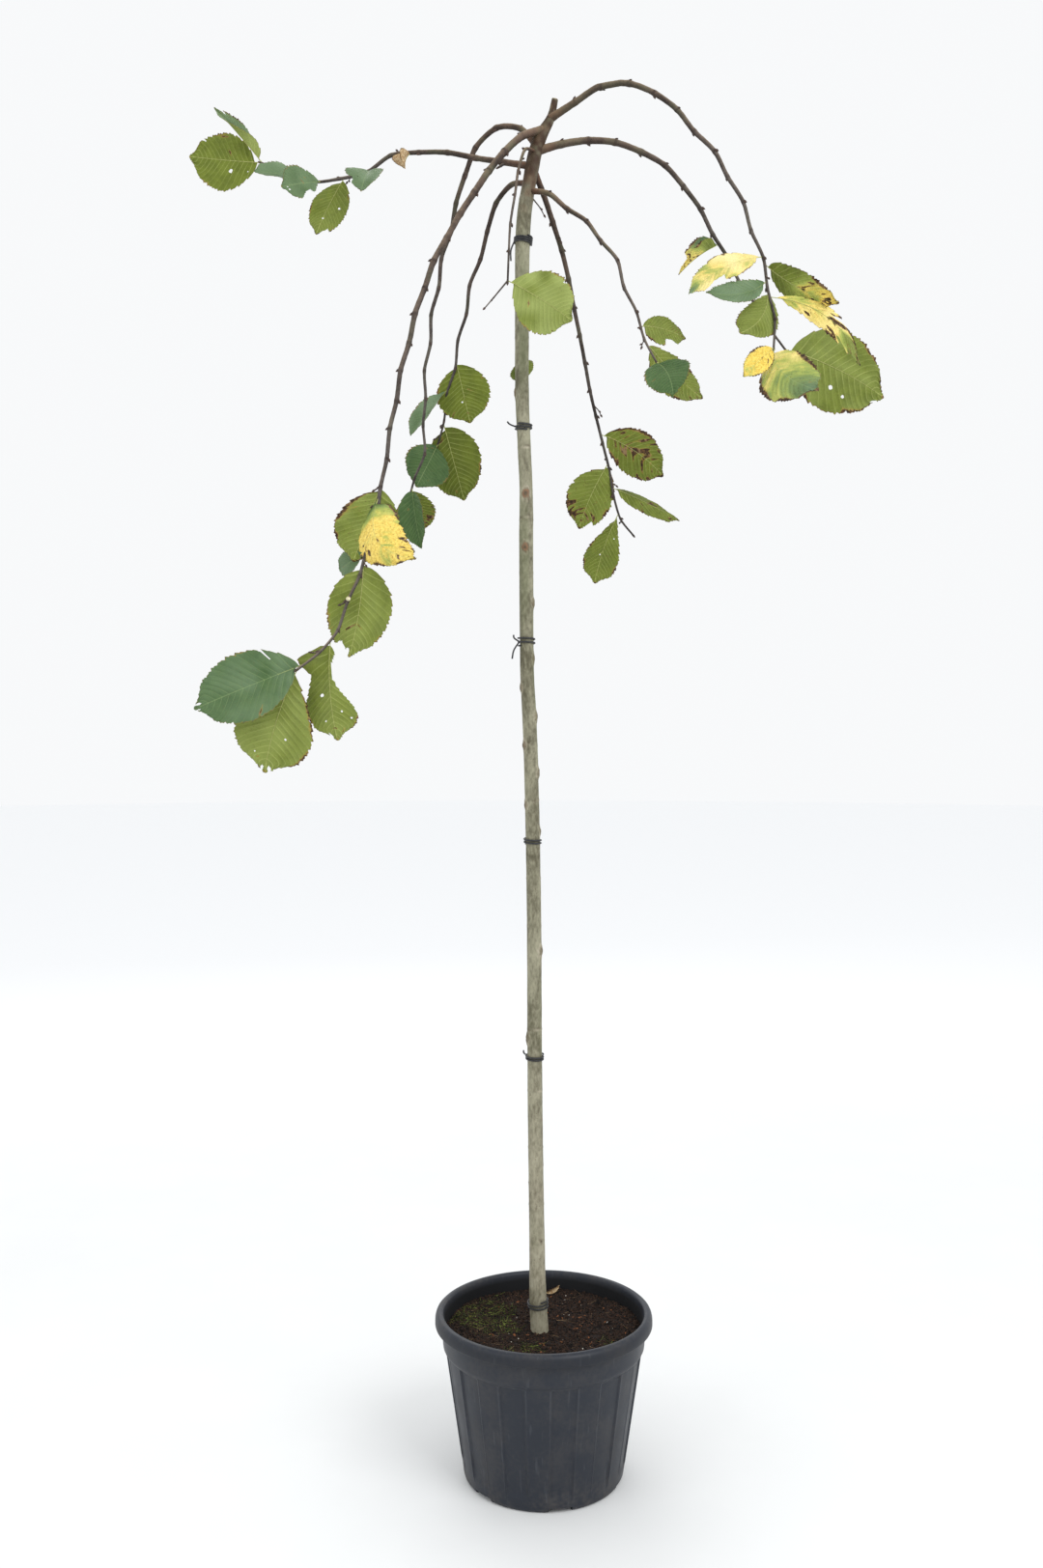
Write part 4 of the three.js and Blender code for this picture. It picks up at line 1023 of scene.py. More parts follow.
def tie_tree():
    """A cord wound round an upright stem."""
    tree, graph, given, out = make_tree("Tie winding", "GeometryNodeTree", [
        ("Base", "geometry", None), ("Centre", "vector", None), ("Turns", "float", 2.0),
        ("Low radius", "float", 0.016), ("High radius", "float", 0.016),
        ("Rise", "float", 0.009), ("Cord radius", "float", 0.0018), ("Tilt", "vector", None),
        ("Finish", "material", None),
    ], [("Tie", "geometry")])
    coil = graph.out("GeometryNodeCurveSpiral", {
        "Resolution": 40, "Rotations": given["Turns"], "Start Radius": given["Low radius"],
        "End Radius": given["High radius"], "Height": given["Rise"],
    })
    section = graph.out("GeometryNodeCurvePrimitiveCircle", {
        "Resolution": 10, "Radius": given["Cord radius"],
    }, "Curve")
    wound = graph.out("GeometryNodeCurveToMesh", {
        "Curve": coil, "Profile Curve": section, "Fill Caps": True,
    })
    smoothed = graph.out("GeometryNodeSetShadeSmooth", {"Geometry": wound})
    moved = graph.out("GeometryNodeTransform", {
        "Geometry": smoothed, "Translation": given["Centre"], "Rotation": given["Tilt"],
    })
    finish_tree(graph, moved, given["Finish"], out["Tie"])
    return tree


def grown(base, name, tree, **inputs):
    """The result of a geometry node tree on an object, as a plain object of its own."""
    modifier = base.modifiers.new(tree.name, "NODES")
    modifier.node_group = tree
    for item in tree.interface.items_tree:
        key = item.name.replace(" ", "_")
        if item.in_out == "INPUT" and key in inputs:
            modifier[item.identifier] = inputs[key]
    context = bpy.context.evaluated_depsgraph_get()
    mesh = bpy.data.meshes.new_from_object(base.evaluated_get(context), depsgraph=context)
    base.modifiers.remove(modifier)
    mesh.name = name
    if not len(mesh.polygons):
        raise RuntimeError(f"{name}: its node tree made no faces")
    return new_object(name, mesh)


def dropped(*helpers):
    for helper in helpers:
        bpy.data.objects.remove(helper, do_unlink=True)


# ---------------------------------------------------------------- pot and soil


def inner_radius(height):
    """The radius of the pot's inside, which clears the backs of the panels."""
    low = POT["foot"] - POT["wall"] - POT["panel_depth"]
    shoulder = POT["shoulder"] - POT["wall"] - POT["panel_depth"]
    return np.interp(height, [POT["floor"], POT["shoulder_height"], POT["height"]],
                     [low, shoulder, POT["rim"]])


def pot_bearings():
    """Bearings of the columns, closer together at the edges of the panels and the notches;
    each is given with its distance from the middle of its panel."""
    half = POT["panel_sweep"] / 2
    pitch = 360 / POT["panels"]
    at_edge = [half + PANEL_EDGE * k for k in (-1, -0.5, 0, 0.5, 1)]
    steps = [0, 2.5, 5, half - 1.1, *at_edge, 8.45, 8.6, 9.2, 11, 13]
    offsets = sorted({s * side for s in steps for side in (-1, 1)} | {pitch / 2})
    return np.array([(POT["panel_turn"] + pitch * i + o, o, i)
                     for i in range(POT["panels"]) for o in offsets])


def pot_profile():
    """Rows from the middle of the underside round to the inner floor: radius, height, share of
    the panels' depth, share of the notches' height."""
    floor, notch = POT["floor"], POT["notch_inner"]
    rows = [(radius, 0, 0, 0) for radius in (POLE, 70, notch - 1)]
    rows += [(radius, height, 0, 1) for radius, height in [(notch, 0), *FOOT_EDGE]]
    for height in FLANK_HEIGHTS:
        radius = np.interp(height, [POT["foot_rise"], POT["shoulder_height"]],
                           [POT["foot"], POT["shoulder"]])
        depth = smooth(height, *PANEL_FADES[0]) * smooth(height, *PANEL_FADES[1])
        rows.append((radius, height, depth, 0))
    rows += [(radius, height, 0, 0) for radius, height in BAND + COLLAR]
    rows += [(float(inner_radius(height)), height, 0, 0) for height in INNER_HEIGHTS]
    rows += [(radius, floor, 0, 0) for radius in (inner_radius(floor) - 3, 60, POLE)]
    return np.array(rows)


def build_pot(look):
    """The pot as one skin, from under its foot up over the collar and down to its inner floor."""
    columns = pot_bearings()
    rows = pot_profile()
    turn, off = np.radians(columns[:, 0]), np.abs(columns[:, 1])
    radii, heights, depths, notches = (rows[:, k:k + 1] for k in range(4))
    half = POT["panel_sweep"] / 2
    inside = smooth(off, half + PANEL_EDGE, half - PANEL_EDGE)
    notched = (off < POT["notch_sweep"] / 2) & (columns[:, 2] % POT["notch_every"] == 0)
    lip = hump(off - half, 0.55, 0.4)
    radius = radii + depths * (0.8 * lip - POT["panel_depth"] * inside)
    # The lips beside the panels and their upper edges are worn pale and carry a painted highlight.
    rub = 0.12 * lip * depths * smooth(heights, 60, 240)
    rub = np.maximum(rub, 0.15 * inside * hump(heights, 253.4, 0.9))
    # Inside, the wall is dark partly with damp stain and partly with painted shade, and painted
    # shade darkens the collar's face a little under its roll.
    past_lip = np.arange(len(rows))[:, None] > int(np.argmax(heights)) + 4
    stain_and_shade = 0.95 * past_lip + 0.3 * (radii > 205) * smooth(heights, 326, 318)
    height = np.where(notched & (notches > 0),
                      np.maximum(heights, POT["notch_height"] * 0.98), heights)
    points = np.stack([radius * np.cos(turn), radius * np.sin(turn),
                       np.broadcast_to(height, radius.shape)], -1)
    # An old pot is never quite round, but its collar is stiff.
    sway = 1 + OUT_OF_ROUND * np.sin(2 * turn + 0.6) * smooth(points[..., 2], 20, 320)
    points[..., :2] *= np.where(radius < COLLAR[2][0] + 1, sway, 1)[..., None]
    shape = Shape()
    shape.grid(points, wrap=True, rub=rub, inside=stain_and_shade + 0 * rub)
    count = len(columns)
    for ring, order in ((points[0], 1), (points[-1], -1)):
        centre = ring.mean(axis=0)
        fan = [(count, (k + 1) % count, k)[::order] for k in range(count)]
        shape.add(np.vstack([ring, centre]), fan)
    made = merged(shape.object("pot_shell", [pot_plastic(look)]))
    made.data.set_sharp_from_angle(angle=math.radians(55))
    finish_piece(made, "pot", "pot")


def merged(made):
    """Joins points that lie on each other, so that seams and poles are closed."""
    work = bmesh.new()
    work.from_mesh(made.data)
    bmesh.ops.remove_doubles(work, verts=work.verts, dist=1e-6)
    bmesh.ops.recalc_face_normals(work, faces=work.faces)
    work.to_mesh(made.data)
    work.free()
    return made


def soil_height(x, y):
    height = SOIL_TOP + SOIL_EDGE_RISE * smooth(np.hypot(x, y), SOIL_FLAT, POT["rim"])
    flat = np.stack([x, y, np.zeros_like(x)], -1)
    for rise, size, seed in SOIL_WAVES:
        height = height + rise * noise(flat, size, seed)
    return height


def patches(x, y, rows):
    """How strong the soft round patches are at each place, added up."""
    return sum(strength * np.exp(-((x - a) ** 2 + (y - b) ** 2) / radius**2)
               for a, b, radius, strength in rows)


def soil_disc(rings, segments, margin):
    """The soil's surface as a disc, with how much moss and how many red chips lie where."""
    out = np.linspace(0, 1, rings) ** 0.8 * (float(inner_radius(SOIL_TOP + 8)) - margin)
    turn = np.linspace(0, 2 * np.pi, segments, endpoint=False)
    x, y = out[:, None] * np.cos(turn), out[:, None] * np.sin(turn)
    points = np.stack([x, y, soil_height(x, y)], -1)
    moss = np.clip(patches(x, y, MOSS_PATCHES) * (0.62 + 0.9 * noise(points, 17, 8)), 0, 1)
    red = np.clip(patches(x, y, RED_PATCHES) + 0.05, 0, 1)
    return points, moss, red


def icosphere(name, radius, stretch, rough, seed):
    """A small lumpy stone, a chip when it is stretched flat."""
    work = bmesh.new()
    bmesh.ops.create_icosphere(work, subdivisions=1, radius=radius * MILLIMETRE)
    spread = np.random.default_rng(seed)
    for vert in work.verts:
        vert.co *= 1 + rough * spread.uniform(-1, 1)
        for axis in range(3):
            vert.co[axis] *= stretch[axis]
    mesh = bpy.data.meshes.new(name)
    work.to_mesh(mesh)
    work.free()
    return new_object(name, mesh)


def strand(name):
    """A thin bent strand standing on its foot: a moss shoot, or a fibre when it lies flat."""
    length, radius, droop, rise = STRANDS[name]
    shape = Shape()
    share = np.linspace(0, 1, 3)
    line = np.stack([droop * share**1.5, STRAND_SWAY * share**2, rise * share], -1) * length
    tube(shape, line, radius * (1 - 0.75 * share), -FRONT, 3)
    return shape.object(name, [])


def strand_end(name):
    """Where a strand's free end is, in metres from its foot."""
    length, _, droop, rise = STRANDS[name]
    return tuple(share * length * MILLIMETRE for share in (droop, STRAND_SWAY, rise))


def build_bed(points, earth):
    """The compost's surface, with a skirt and a bottom that close it inside the pot."""
    shape = Shape()
    shape.grid(points, wrap=True, shade=0.25)
    rim = points[-1]
    skirt = np.stack([rim, rim * (0.985, 0.985, 0) + UP * (SOIL_FLOOR + 1),
                      rim * (0.5, 0.5, 0) + UP * SOIL_FLOOR])
    shape.grid(skirt, wrap=True, shade=0.2)
    count = len(rim)
    shape.add(np.vstack([skirt[-1], (0, 0, SOIL_FLOOR)]),
              [(count, (k + 1) % count, k) for k in range(count)], shade=0.2)
    finish_piece(merged(shape.object("soil_bed", [earth])), "soil", "soil")


def sow(name, points, cover, chip, finish, density, sizes, tilt, seed, far_end=None):
    """Scatters a chip over the soil, so many to the square metre where its cover is 1. A chip
    that has a far end is left out where that end would touch the pot's wall."""
    surface = Shape()
    surface.grid(points, wrap=True, cover=cover)
    base = surface.object(name + "_surface", [])
    tree = bpy.data.node_groups.get("Litter scatter") or scatter_tree()
    limits = {}
    if far_end:
        wall = float(inner_radius(SOIL_TOP)) - WALL_CLEARANCE
        limits = {"Far_end": far_end, "Wall_radius": wall * MILLIMETRE}
    made = grown(base, name, tree, Chip=chip, Density=density, Smallest=sizes[0],
                 Largest=sizes[1], Tilt=tilt, Seed=seed, Finish=finish, **limits)
    dropped(base, chip)
    finish_piece(made, "soil")


def build_soil(look):
    """The compost, and the crumbs, chips, grit, fibres and moss that lie on it."""
    earth = compost("compost", look.soil_dark, look.soil_light)
    points, moss, red = soil_disc(46, 150, 0.5)
    build_bed(points, earth)
    litter = look.crumb_density
    sow("soil_crumbs", points, 1, icosphere("crumb", 2.5, (1, 0.85, 0.7), 0.3, 11), earth,
        density=66000 * litter, sizes=(0.35, 1.5), tilt=3.1, seed=21)
    sow("soil_bark_chips", points, 0.12 + red, icosphere("chip", 4.6, (1, 0.5, 0.3), 0.35, 12),
        compost("bark_chips", srgb(48, 30, 20), srgb(126, 78, 46)),
        density=5200 * litter, sizes=(0.4, 1.4), tilt=0.5, seed=22)
    sow("soil_grit", points, 1, icosphere("grit", 1.6, (1, 0.9, 0.8), 0.25, 13),
        compost("grit", srgb(120, 112, 100), srgb(226, 220, 208), 0.8),
        density=260 * litter, sizes=(0.6, 1.4), tilt=3.1, seed=23)
    sow("soil_fibres", points, 0.6 + 0.4 * red, strand("fibre"),
        compost("fibres", srgb(58, 42, 30), srgb(150, 124, 92), 0.85),
        density=11000 * litter, sizes=(0.4, 1.3), tilt=0.35, seed=24,
        far_end=strand_end("fibre"))
    sow("soil_moss", points, smooth(moss, 0.2, 0.75), strand("moss_shoot"),
        compost("moss", srgb(24, 32, 12), srgb(112, 120, 56), 0.9, (0.35, 1.05)),
        density=900000 * litter, sizes=(0.4, 1.5), tilt=1.0, seed=25,
        far_end=strand_end("moss_shoot"))
    build_fallen_leaf(look)


def build_fallen_leaf(look):
    """A curled dead leaf that stands against the wall behind the stem."""
    row = leaf(0, (30, 5, 15), 15, .5, 15, 0, 25, 0, 40, 10, dry=1, margin=.5, blotch=.2)
    root = np.array(FALLEN_LEAF_ROOT)
    shape = Shape()
    rib(shape, row, root, blade_solid(shape, row, root, (0, 0, 1, 1), 97, 1.0))
    finish_piece(shape.object("fallen_leaf", leaf_finishes(look)), "foliage")


# ---------------------------------------------------------------- stem and ties


def add_knots(marks, skin, height, turn):
    """Each knot is a low mound with a dimple, ringed by healed wood and by pale new bark."""
    for knot, degrees, size, redness in KNOTS:
        apart = np.angle(np.exp(1j * (turn - math.radians(degrees))))
        away = np.hypot(apart * STEM_UNROLLED, (height - knot) / 1.25) / size
        away = away * (1 + 0.28 * noise(skin, 4.5, 39))
        mound, dimple = np.exp(-(away * 1.35) ** 2), np.exp(-(away * 4) ** 2)
        marks["radii"] += size / 9 * (3.8 * mound - 1.8 * dimple)
        for mark, strength, middle, sharpness in (
                ("scar", 1, 0, 2.4), ("scar", 0.5, 0.8, 8), ("callus", redness, 0.5, 4),
                ("pale", 0.9, 1.1, 5)):
            there = strength * np.exp(-((away - middle) * sharpness) ** 2)
            marks[mark] = np.maximum(marks[mark], there)


def add_rings(marks, height, turn):
    """Each ring scar is a pale wavy ridge round part of the stem, with a dark line above it."""
    for ring in RING_SCARS:
        off = height - ring - 1.3 * np.sin(turn * 2 + ring)
        ridge = hump(off, 0, 1.8)
        part = smooth(np.sin(turn + ring), -0.4, 0.5)
        marks["radii"] += 0.6 * ridge
        marks["pale"] = np.maximum(marks["pale"], ridge * part)
        marks["scar"] = np.maximum(marks["scar"], 0.55 * hump(off, 3.2, 1.5) * part)


def stem_marks(width, height, turn):
    """The stem's radii row by row, and how scarred, healed, pale and green its bark is."""
    skin = np.stack([np.cos(turn) * STEM_UNROLLED + 0 * height,
                     np.sin(turn) * STEM_UNROLLED + 0 * height, height + 0 * turn], -1)
    radii = width[:, None] / 2 + 0.35 * noise(skin * (1, 1, 0.3), 9, 31)
    radii += 0.5 * noise(skin * (1, 1, 0.12), 22, 32) + 0.12 * noise(skin, 2.5, 33)
    marks = {"radii": radii, "scar": np.zeros_like(radii), "callus": np.zeros_like(radii),
             "pale": smooth(height, 1050, 320) * (0.6 + 0.4 * noise(skin, 40, 37))}
    add_knots(marks, skin, height, turn)
    add_rings(marks, height, turn)
    # The head browns where the boughs leave it.
    scar = np.clip(marks["scar"] * (0.8 + 0.5 * noise(skin, 3, 34)), 0, 1)
    head = smooth(height, 2450, 2570) * (0.96 + 0.4 * noise(skin, 8, 35))
    healed = np.maximum(marks["callus"], 0.6 * smooth(noise(skin, 14, 38), 0.1, 0.5) * head)
    green = (smooth(noise(skin * (1, 1, 0.08), 18, 36), -0.1, 0.6)
             * (0.4 + 0.6 * smooth(height, 900, 2500)))
    shares = {"scar": np.maximum(scar, 0.92 * head), "moss_tinge": green,
              "youth": marks["pale"], "callus": healed}
    return radii, {name: np.clip(share, 0, 1) for name, share in shares.items()}


def build_stem(look):
    """The stem as one skin with its knots, ring scars and long shallow furrows."""
    line = Spline(np.column_stack([TRUNK[:, 1], 0 * TRUNK[:, 1], TRUNK[:, 0], TRUNK[:, 2]]),
                  0.5, 800)
    values = line.here(np.linspace(0, 1, STEM_ROWS))
    centres, width = values[:, :3], values[:, 3]
    turn = np.linspace(0, 2 * np.pi, STEM_SIDES, endpoint=False)
    radii, marks = stem_marks(width, centres[:, 2:3], turn)
    first = np.cross(-FRONT, unit(np.gradient(centres, axis=0)))
    points = centres[:, None] + radii[..., None] * (
        unit(first)[:, None] * np.cos(turn)[:, None] - FRONT * np.sin(turn)[:, None])
    shape = Shape()
    shape.grid(points[:, ::-1], wrap=True, **{k: v[:, ::-1] for k, v in marks.items()})
    add_cut(shape, points[-1], centres[-1], unit(centres[-1] - centres[-2]), 1)
    finish = bark("stem_bark", (look.stem_light, look.stem_dark),
                  (srgb(174, 167, 148), srgb(122, 115, 95)), pores=srgb(92, 80, 60),
                  scar=srgb(60, 43, 30), patch=17.0, stretch=(1, 1, 0.45), cover=0.6)
    cut = plain_finish("cut_wood", srgb(196, 170, 128), srgb(150, 120, 84), 0.8, 420.0)
    made = merged(shape.object("stem_bark", [finish, cut], sharp=60))
    finish_piece(made, "stem", "trunk")


def add_cut(shape, ring, centre, axis, slot):
    """Closes a sawn end with rings of wood that stand a little unevenly."""
    rows = [centre + (ring - centre) * share + axis * rise for share, rise in CUT_RINGS]
    shape.grid(np.stack(rows)[:, ::-1], wrap=True, slot=slot)
    count = len(ring)
    shape.add(np.vstack([rows[-1], rows[-1].mean(axis=0)]),
              [(count, k, (k + 1) % count) for k in range(count)], slot)


def build_ties(look):
    """The ties, each wound in its own slant, and their loose ends."""
    cord = plain_finish("tie_rubber", look.tie_colour, srgb(44, 44, 46), 0.48, 260.0, 0.2)
    tree = bpy.data.node_groups.get("Tie winding") or tie_tree()
    for index, (height, turns, pitch, tails) in enumerate(TIES):
        centre, stem = trunk_at(height)
        rise = pitch * turns
        # The tree makes the whole coil, so it can grow on any small mesh.
        empty = Shape()
        empty.add([(0, 0, 0), (1, 0, 0), (0, 1, 0)], [(0, 1, 2)])
        base = empty.object("tie_base", [])
        out = (stem + CORD_RADIUS + 0.5) * MILLIMETRE
        tilt = (math.radians(3 - index % 3 * 3), math.radians(index * 2.0 - 5), index * 1.3)
        coil = grown(base, f"tie_coil_{index + 1}", tree,
                     Centre=tuple((centre - UP * rise / 2) * MILLIMETRE), Turns=turns + 0.2,
                     Low_radius=out, High_radius=out * 1.03, Rise=rise * MILLIMETRE,
                     Cord_radius=CORD_RADIUS * MILLIMETRE, Tilt=tilt, Finish=cord)
        dropped(base)
        if tails:
            coil = joined(coil, tie_tails(centre, stem, tails, cord))
        finish_piece(coil, "tie", f"tie_{index + 1}")


def tie_tails(centre, stem, tails, cord):
    """A tie's loose ends, each bent where it leaves the stem."""
    shape = Shape()
    rows = 14
    for degrees, run, climb in tails:
        away = bearing(degrees)
        root = centre + away * (stem + 1.5)
        end = root + away * run / 2 + np.array((-run / 2, 0, climb))
        knee = (root + end) / 2 + away * 4
        line = Spline([root, knee, end], 0.5, 20).here(np.linspace(0, 1, rows))
        tube(shape, line, np.full(rows, TAIL_RADIUS), FRONT, 8)
    return shape.object("tie_tails", [cord])


def joined(first, *others):
    """The objects as one, which keeps the first one's name."""
    chosen = [first, *others]
    with bpy.context.temp_override(active_object=first, selected_objects=chosen,
                                   selected_editable_objects=chosen):
        bpy.ops.object.join()
    return first


# ---------------------------------------------------------------- boughs, twigs and buds


def limb_skin(shape, name, index):
    """A limb's bark from inside the stem to its tip, swollen at each bud."""
    curve, across, count = CURVES[name]
    share = np.linspace(0, 1, int(curve.length / LIMB_STEP))
    centres = curve.here(share)
    distance = share * curve.length
    # How far each row is from the nearest bud. The stretch next to the stem stays smooth.
    phase = (share * count) % 1
    near = np.minimum(phase, 1 - phase) * curve.length / count
    grown_up = smooth(distance, 30, 90)
    radii = BARK_INSET * limb_radius(name, distance) * (1 + 0.16 * hump(near, 0, 4.5) * grown_up)
    turn = np.linspace(0, 2 * np.pi, LIMB_SIDES, endpoint=False)
    skin = centres[:, None] + np.stack([np.cos(turn) * 5, np.sin(turn) * 5, 0 * turn], -1)
    radii = radii[:, None] * (1 + 0.05 * noise(skin, 7, 50 + index)
                              + 0.03 * noise(skin, 2.4, 60 + index))
    # Rings lie at the buds, and the bark is darker and warmer where it leaves the stem.
    ring = hump(near, 1.5, 1.4) * grown_up
    scar = np.clip(ring[:, None] * (0.55 + 0.5 * noise(skin, 4, 70 + index)), 0, 1)
    collar = np.exp(-np.maximum(distance - 14, 0) / 8)[:, None]
    scar = np.maximum(scar, 0.5 * collar * (0.6 + 0.4 * noise(skin, 5, 80 + index)))
    warm = np.exp(-np.maximum(distance - 20, 0) / 22)[:, None]
    warm = np.clip(0.4 * warm * (0.8 + 0.6 * noise(skin, 9, 100 + index)), 0, 1)
    tinge = np.clip(smooth(noise(skin, 30, 90 + index), 0.1, 0.6)
                    * (1 - share[:, None]) * 0.55, 0, 1)
    top = cad_box[1][2] / MILLIMETRE - BOX_MARGIN
    centres[:, 2] = np.minimum(centres[:, 2], top - radii.max(axis=1))
    tube(shape, centres, radii, across, LIMB_SIDES, scar=scar, moss_tinge=tinge, callus=warm,
         youth=np.broadcast_to(smooth(share, 0.15, 0.7)[:, None], radii.shape))


def twig_skin(shape, root, run, radius, sag, buds):
    """A short twig: a bent tapering tube with a bud at its end and one along it."""
    run = np.array(run, float)
    aside = sideways_of(run)
    line = Spline([root, root + run * 0.3 + aside * sag * 0.6, root + run * 0.62 + aside * sag,
                   root + run], 0.5, 40)
    share = np.linspace(0, 1, 16)
    centres = line.here(share)
    swell = 1 + 0.25 * hump(share, 0.62, 0.05)
    tube(shape, centres, radius * (1 - 0.35 * share) * swell, aside, 8, youth=1.0, scar=0.1,
         moss_tinge=0.0)
    buds.append((centres[-1], unit(run), 0.8))
    buds.append((centres[10] + aside * radius * 0.7, unit(unit(run) + aside), 0.7))


def add_spurs(shape, name, stream, buds):
    """Short spurs along a limb's leafy end, where the source's stream of numbers puts them."""
    back = SPUR_START
    while back < LIMBS[name][3] - SPUR_STOP:
        kept, turn = next(stream) < SPUR_CHANCE, 2 * math.pi * next(stream)
        root, along = place_back(name, back)
        aside = turned_about(sideways_of(along), along, np.array(turn))
        if kept:
            twig_skin(shape, root, (aside + along) * SPUR_REACH, SPUR_RADIUS, 1.0, buds)
        back += INTERNODE / 2


def limb_buds(name):
    """The buds on a limb, to either side by turns, and the one at its tip."""
    curve, across, count = CURVES[name]
    buds = []
    for node in range(1, count):
        share = node / count
        if share * curve.length < BARE_LENGTH:
            continue
        along = curve.tangent(share)
        sway = turned_about(across, along, np.array(math.radians(ZIGZAG_TURN + 90)))
        sway = sway * (1 if node % 2 else -1)
        radius = limb_radius(name, share * curve.length)
        buds.append((curve.here(share) + sway * radius * 0.82, unit(along + sway * 0.8),
                     0.8 + 0.25 * ((node * 7) % 5) / 4))
    along = curve.tangent(1.0)
    return [*buds, (curve.here(1.0) - along * 0.5, along, 0.85)]


def build_boughs(look):
    """Each bough's bark with its spurs and twigs as one piece, and then all the buds."""
    # The boughs' bark carries painted light: lighter tops and darker undersides.
    finish = bark("bough_bark", (look.bough_light, look.bough_dark),
                  (srgb(92, 85, 80), srgb(48, 43, 40)), pores=srgb(126, 106, 84),
                  scar=srgb(44, 32, 27), patch=24.0, stretch=(1, 1, 1), cover=0.5, painted_light_and_shade=0.5)
    buds = []
    for index, name in enumerate(LIMBS):
        shape = Shape()
        limb_skin(shape, name, index)
        add_spurs(shape, name, random_stream(SEED + index), buds)
        for limb, distance, run, radius, sag in TWIGS:
            if limb == name:
                twig_skin(shape, place_back(name, distance)[0], run, radius, sag, buds)
        buds += limb_buds(name)
        stem = f"bough_{name}_"
        nodes = [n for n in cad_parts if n.startswith(stem) and n[len(stem):].isdigit()]
        made = merged(shape.object(f"bough_bark_{name}", [finish]))
        finish_piece(made, "limb", *nodes, f"foliage_{name}")
    height, aside, run, radius, sag = STEM_TWIG
    twig = Shape()
    twig_skin(twig, trunk_at(height)[0] + np.array(aside), run, radius, sag, buds)
    finish_piece(merged(twig.object("stem_twig", [finish])), "limb")
    build_buds(buds)
    build_flower_bud()


def build_buds(places):
    """All the buds, set by one tree on their places, each given with its aim and its size."""
    shape = Shape()
    share = np.linspace(0, 1, 7)
    radii = 2.1 * np.sin(np.pi * (0.12 + 0.88 * share) ** 0.75) ** 0.8 + 0.04
    line = np.stack([0.6 * share**2, 0 * share, 8.6 * share - 1.4], -1)
    tube(shape, line, radii, -FRONT, 8)
    bud = shape.object("bud_shape", [])
    mesh = bpy.data.meshes.new("bud_places")
    mesh.from_pydata([tuple(p * MILLIMETRE) for p, _, _ in places], [], [])
    aim = mesh.attributes.new("aim", "FLOAT_VECTOR", "POINT")
    aim.data.foreach_set("vector", np.array([a for _, a, _ in places]).astype(np.float32).ravel())
    size = mesh.attributes.new("size", "FLOAT", "POINT")
    size.data.foreach_set("value", np.array([s for _, _, s in places], np.float32))
    base = new_object("bud_places", mesh)
    finish = plain_finish("bud_scales", srgb(40, 27, 22), srgb(78, 55, 42), 0.6, 600.0)
    tree = bpy.data.node_groups.get("Bud set") or bud_tree()
    made = grown(base, "limb_buds", tree, Bud=bud, Fatness=1.25, Finish=finish)
    dropped(base, bud)
    finish_piece(made, "limb")


def build_flower_bud():
    """The one bud that has opened into a pale, rounded flower bud."""
    root, along = place_back(*FLOWER_BUD)
    flower = Shape()
    share = np.linspace(0, 1, 11)
    line = root + (FRONT * 2 + np.outer(share, unit(FRONT + 0.3 * along)) * 8.4)
    tube(flower, line, 4.2 * np.sin(np.pi * (0.04 + 0.94 * share)) ** 0.6, along, 14)
    pale = plain_finish("flower_bud", srgb(224, 220, 190), srgb(176, 164, 120), 0.7, 300.0)
    finish_piece(merged(flower.object("flower_bud", [pale])), "limb")


# ---------------------------------------------------------------- leaves

SIDE_VEINS = 15
ROWS_PER_VEIN = 8
HALF_COLUMNS = 12
VEIN_LEAN = 0.27
MARGIN_CROWDING = 0.85  # how much closer the columns lie at the margin
BLADE_THICKNESS = 0.5
FULL_WIDTH = 110  # a blade as wide as this has teeth and waves at full size
RUFFLES = [(1.7, 1.9), (3.1, 1.2), (6.2, 0.6)]  # waves along the blade, height in millimetres
GAPS = 9  # torn gaps to each side of a wholly ragged blade
GAP_DEPTH = 0.085  # of half the blade's width


def torn_gaps(row, spread, count):
    """How far the margin is torn or shrivelled back at each row, on either side."""
    gaps = np.zeros((count, 2))
    place = np.arange(count)
    for half in (0, 1):
        for _ in range(round(GAPS * row["ragged"])):
            at, depth, width = (spread.uniform(*ends) for ends in ((0.1, 1), (0.3, 1), (1, 3)))
            gaps[:, half] = np.maximum(gaps[:, half], depth * hump(place, at * count, width))
    return gaps


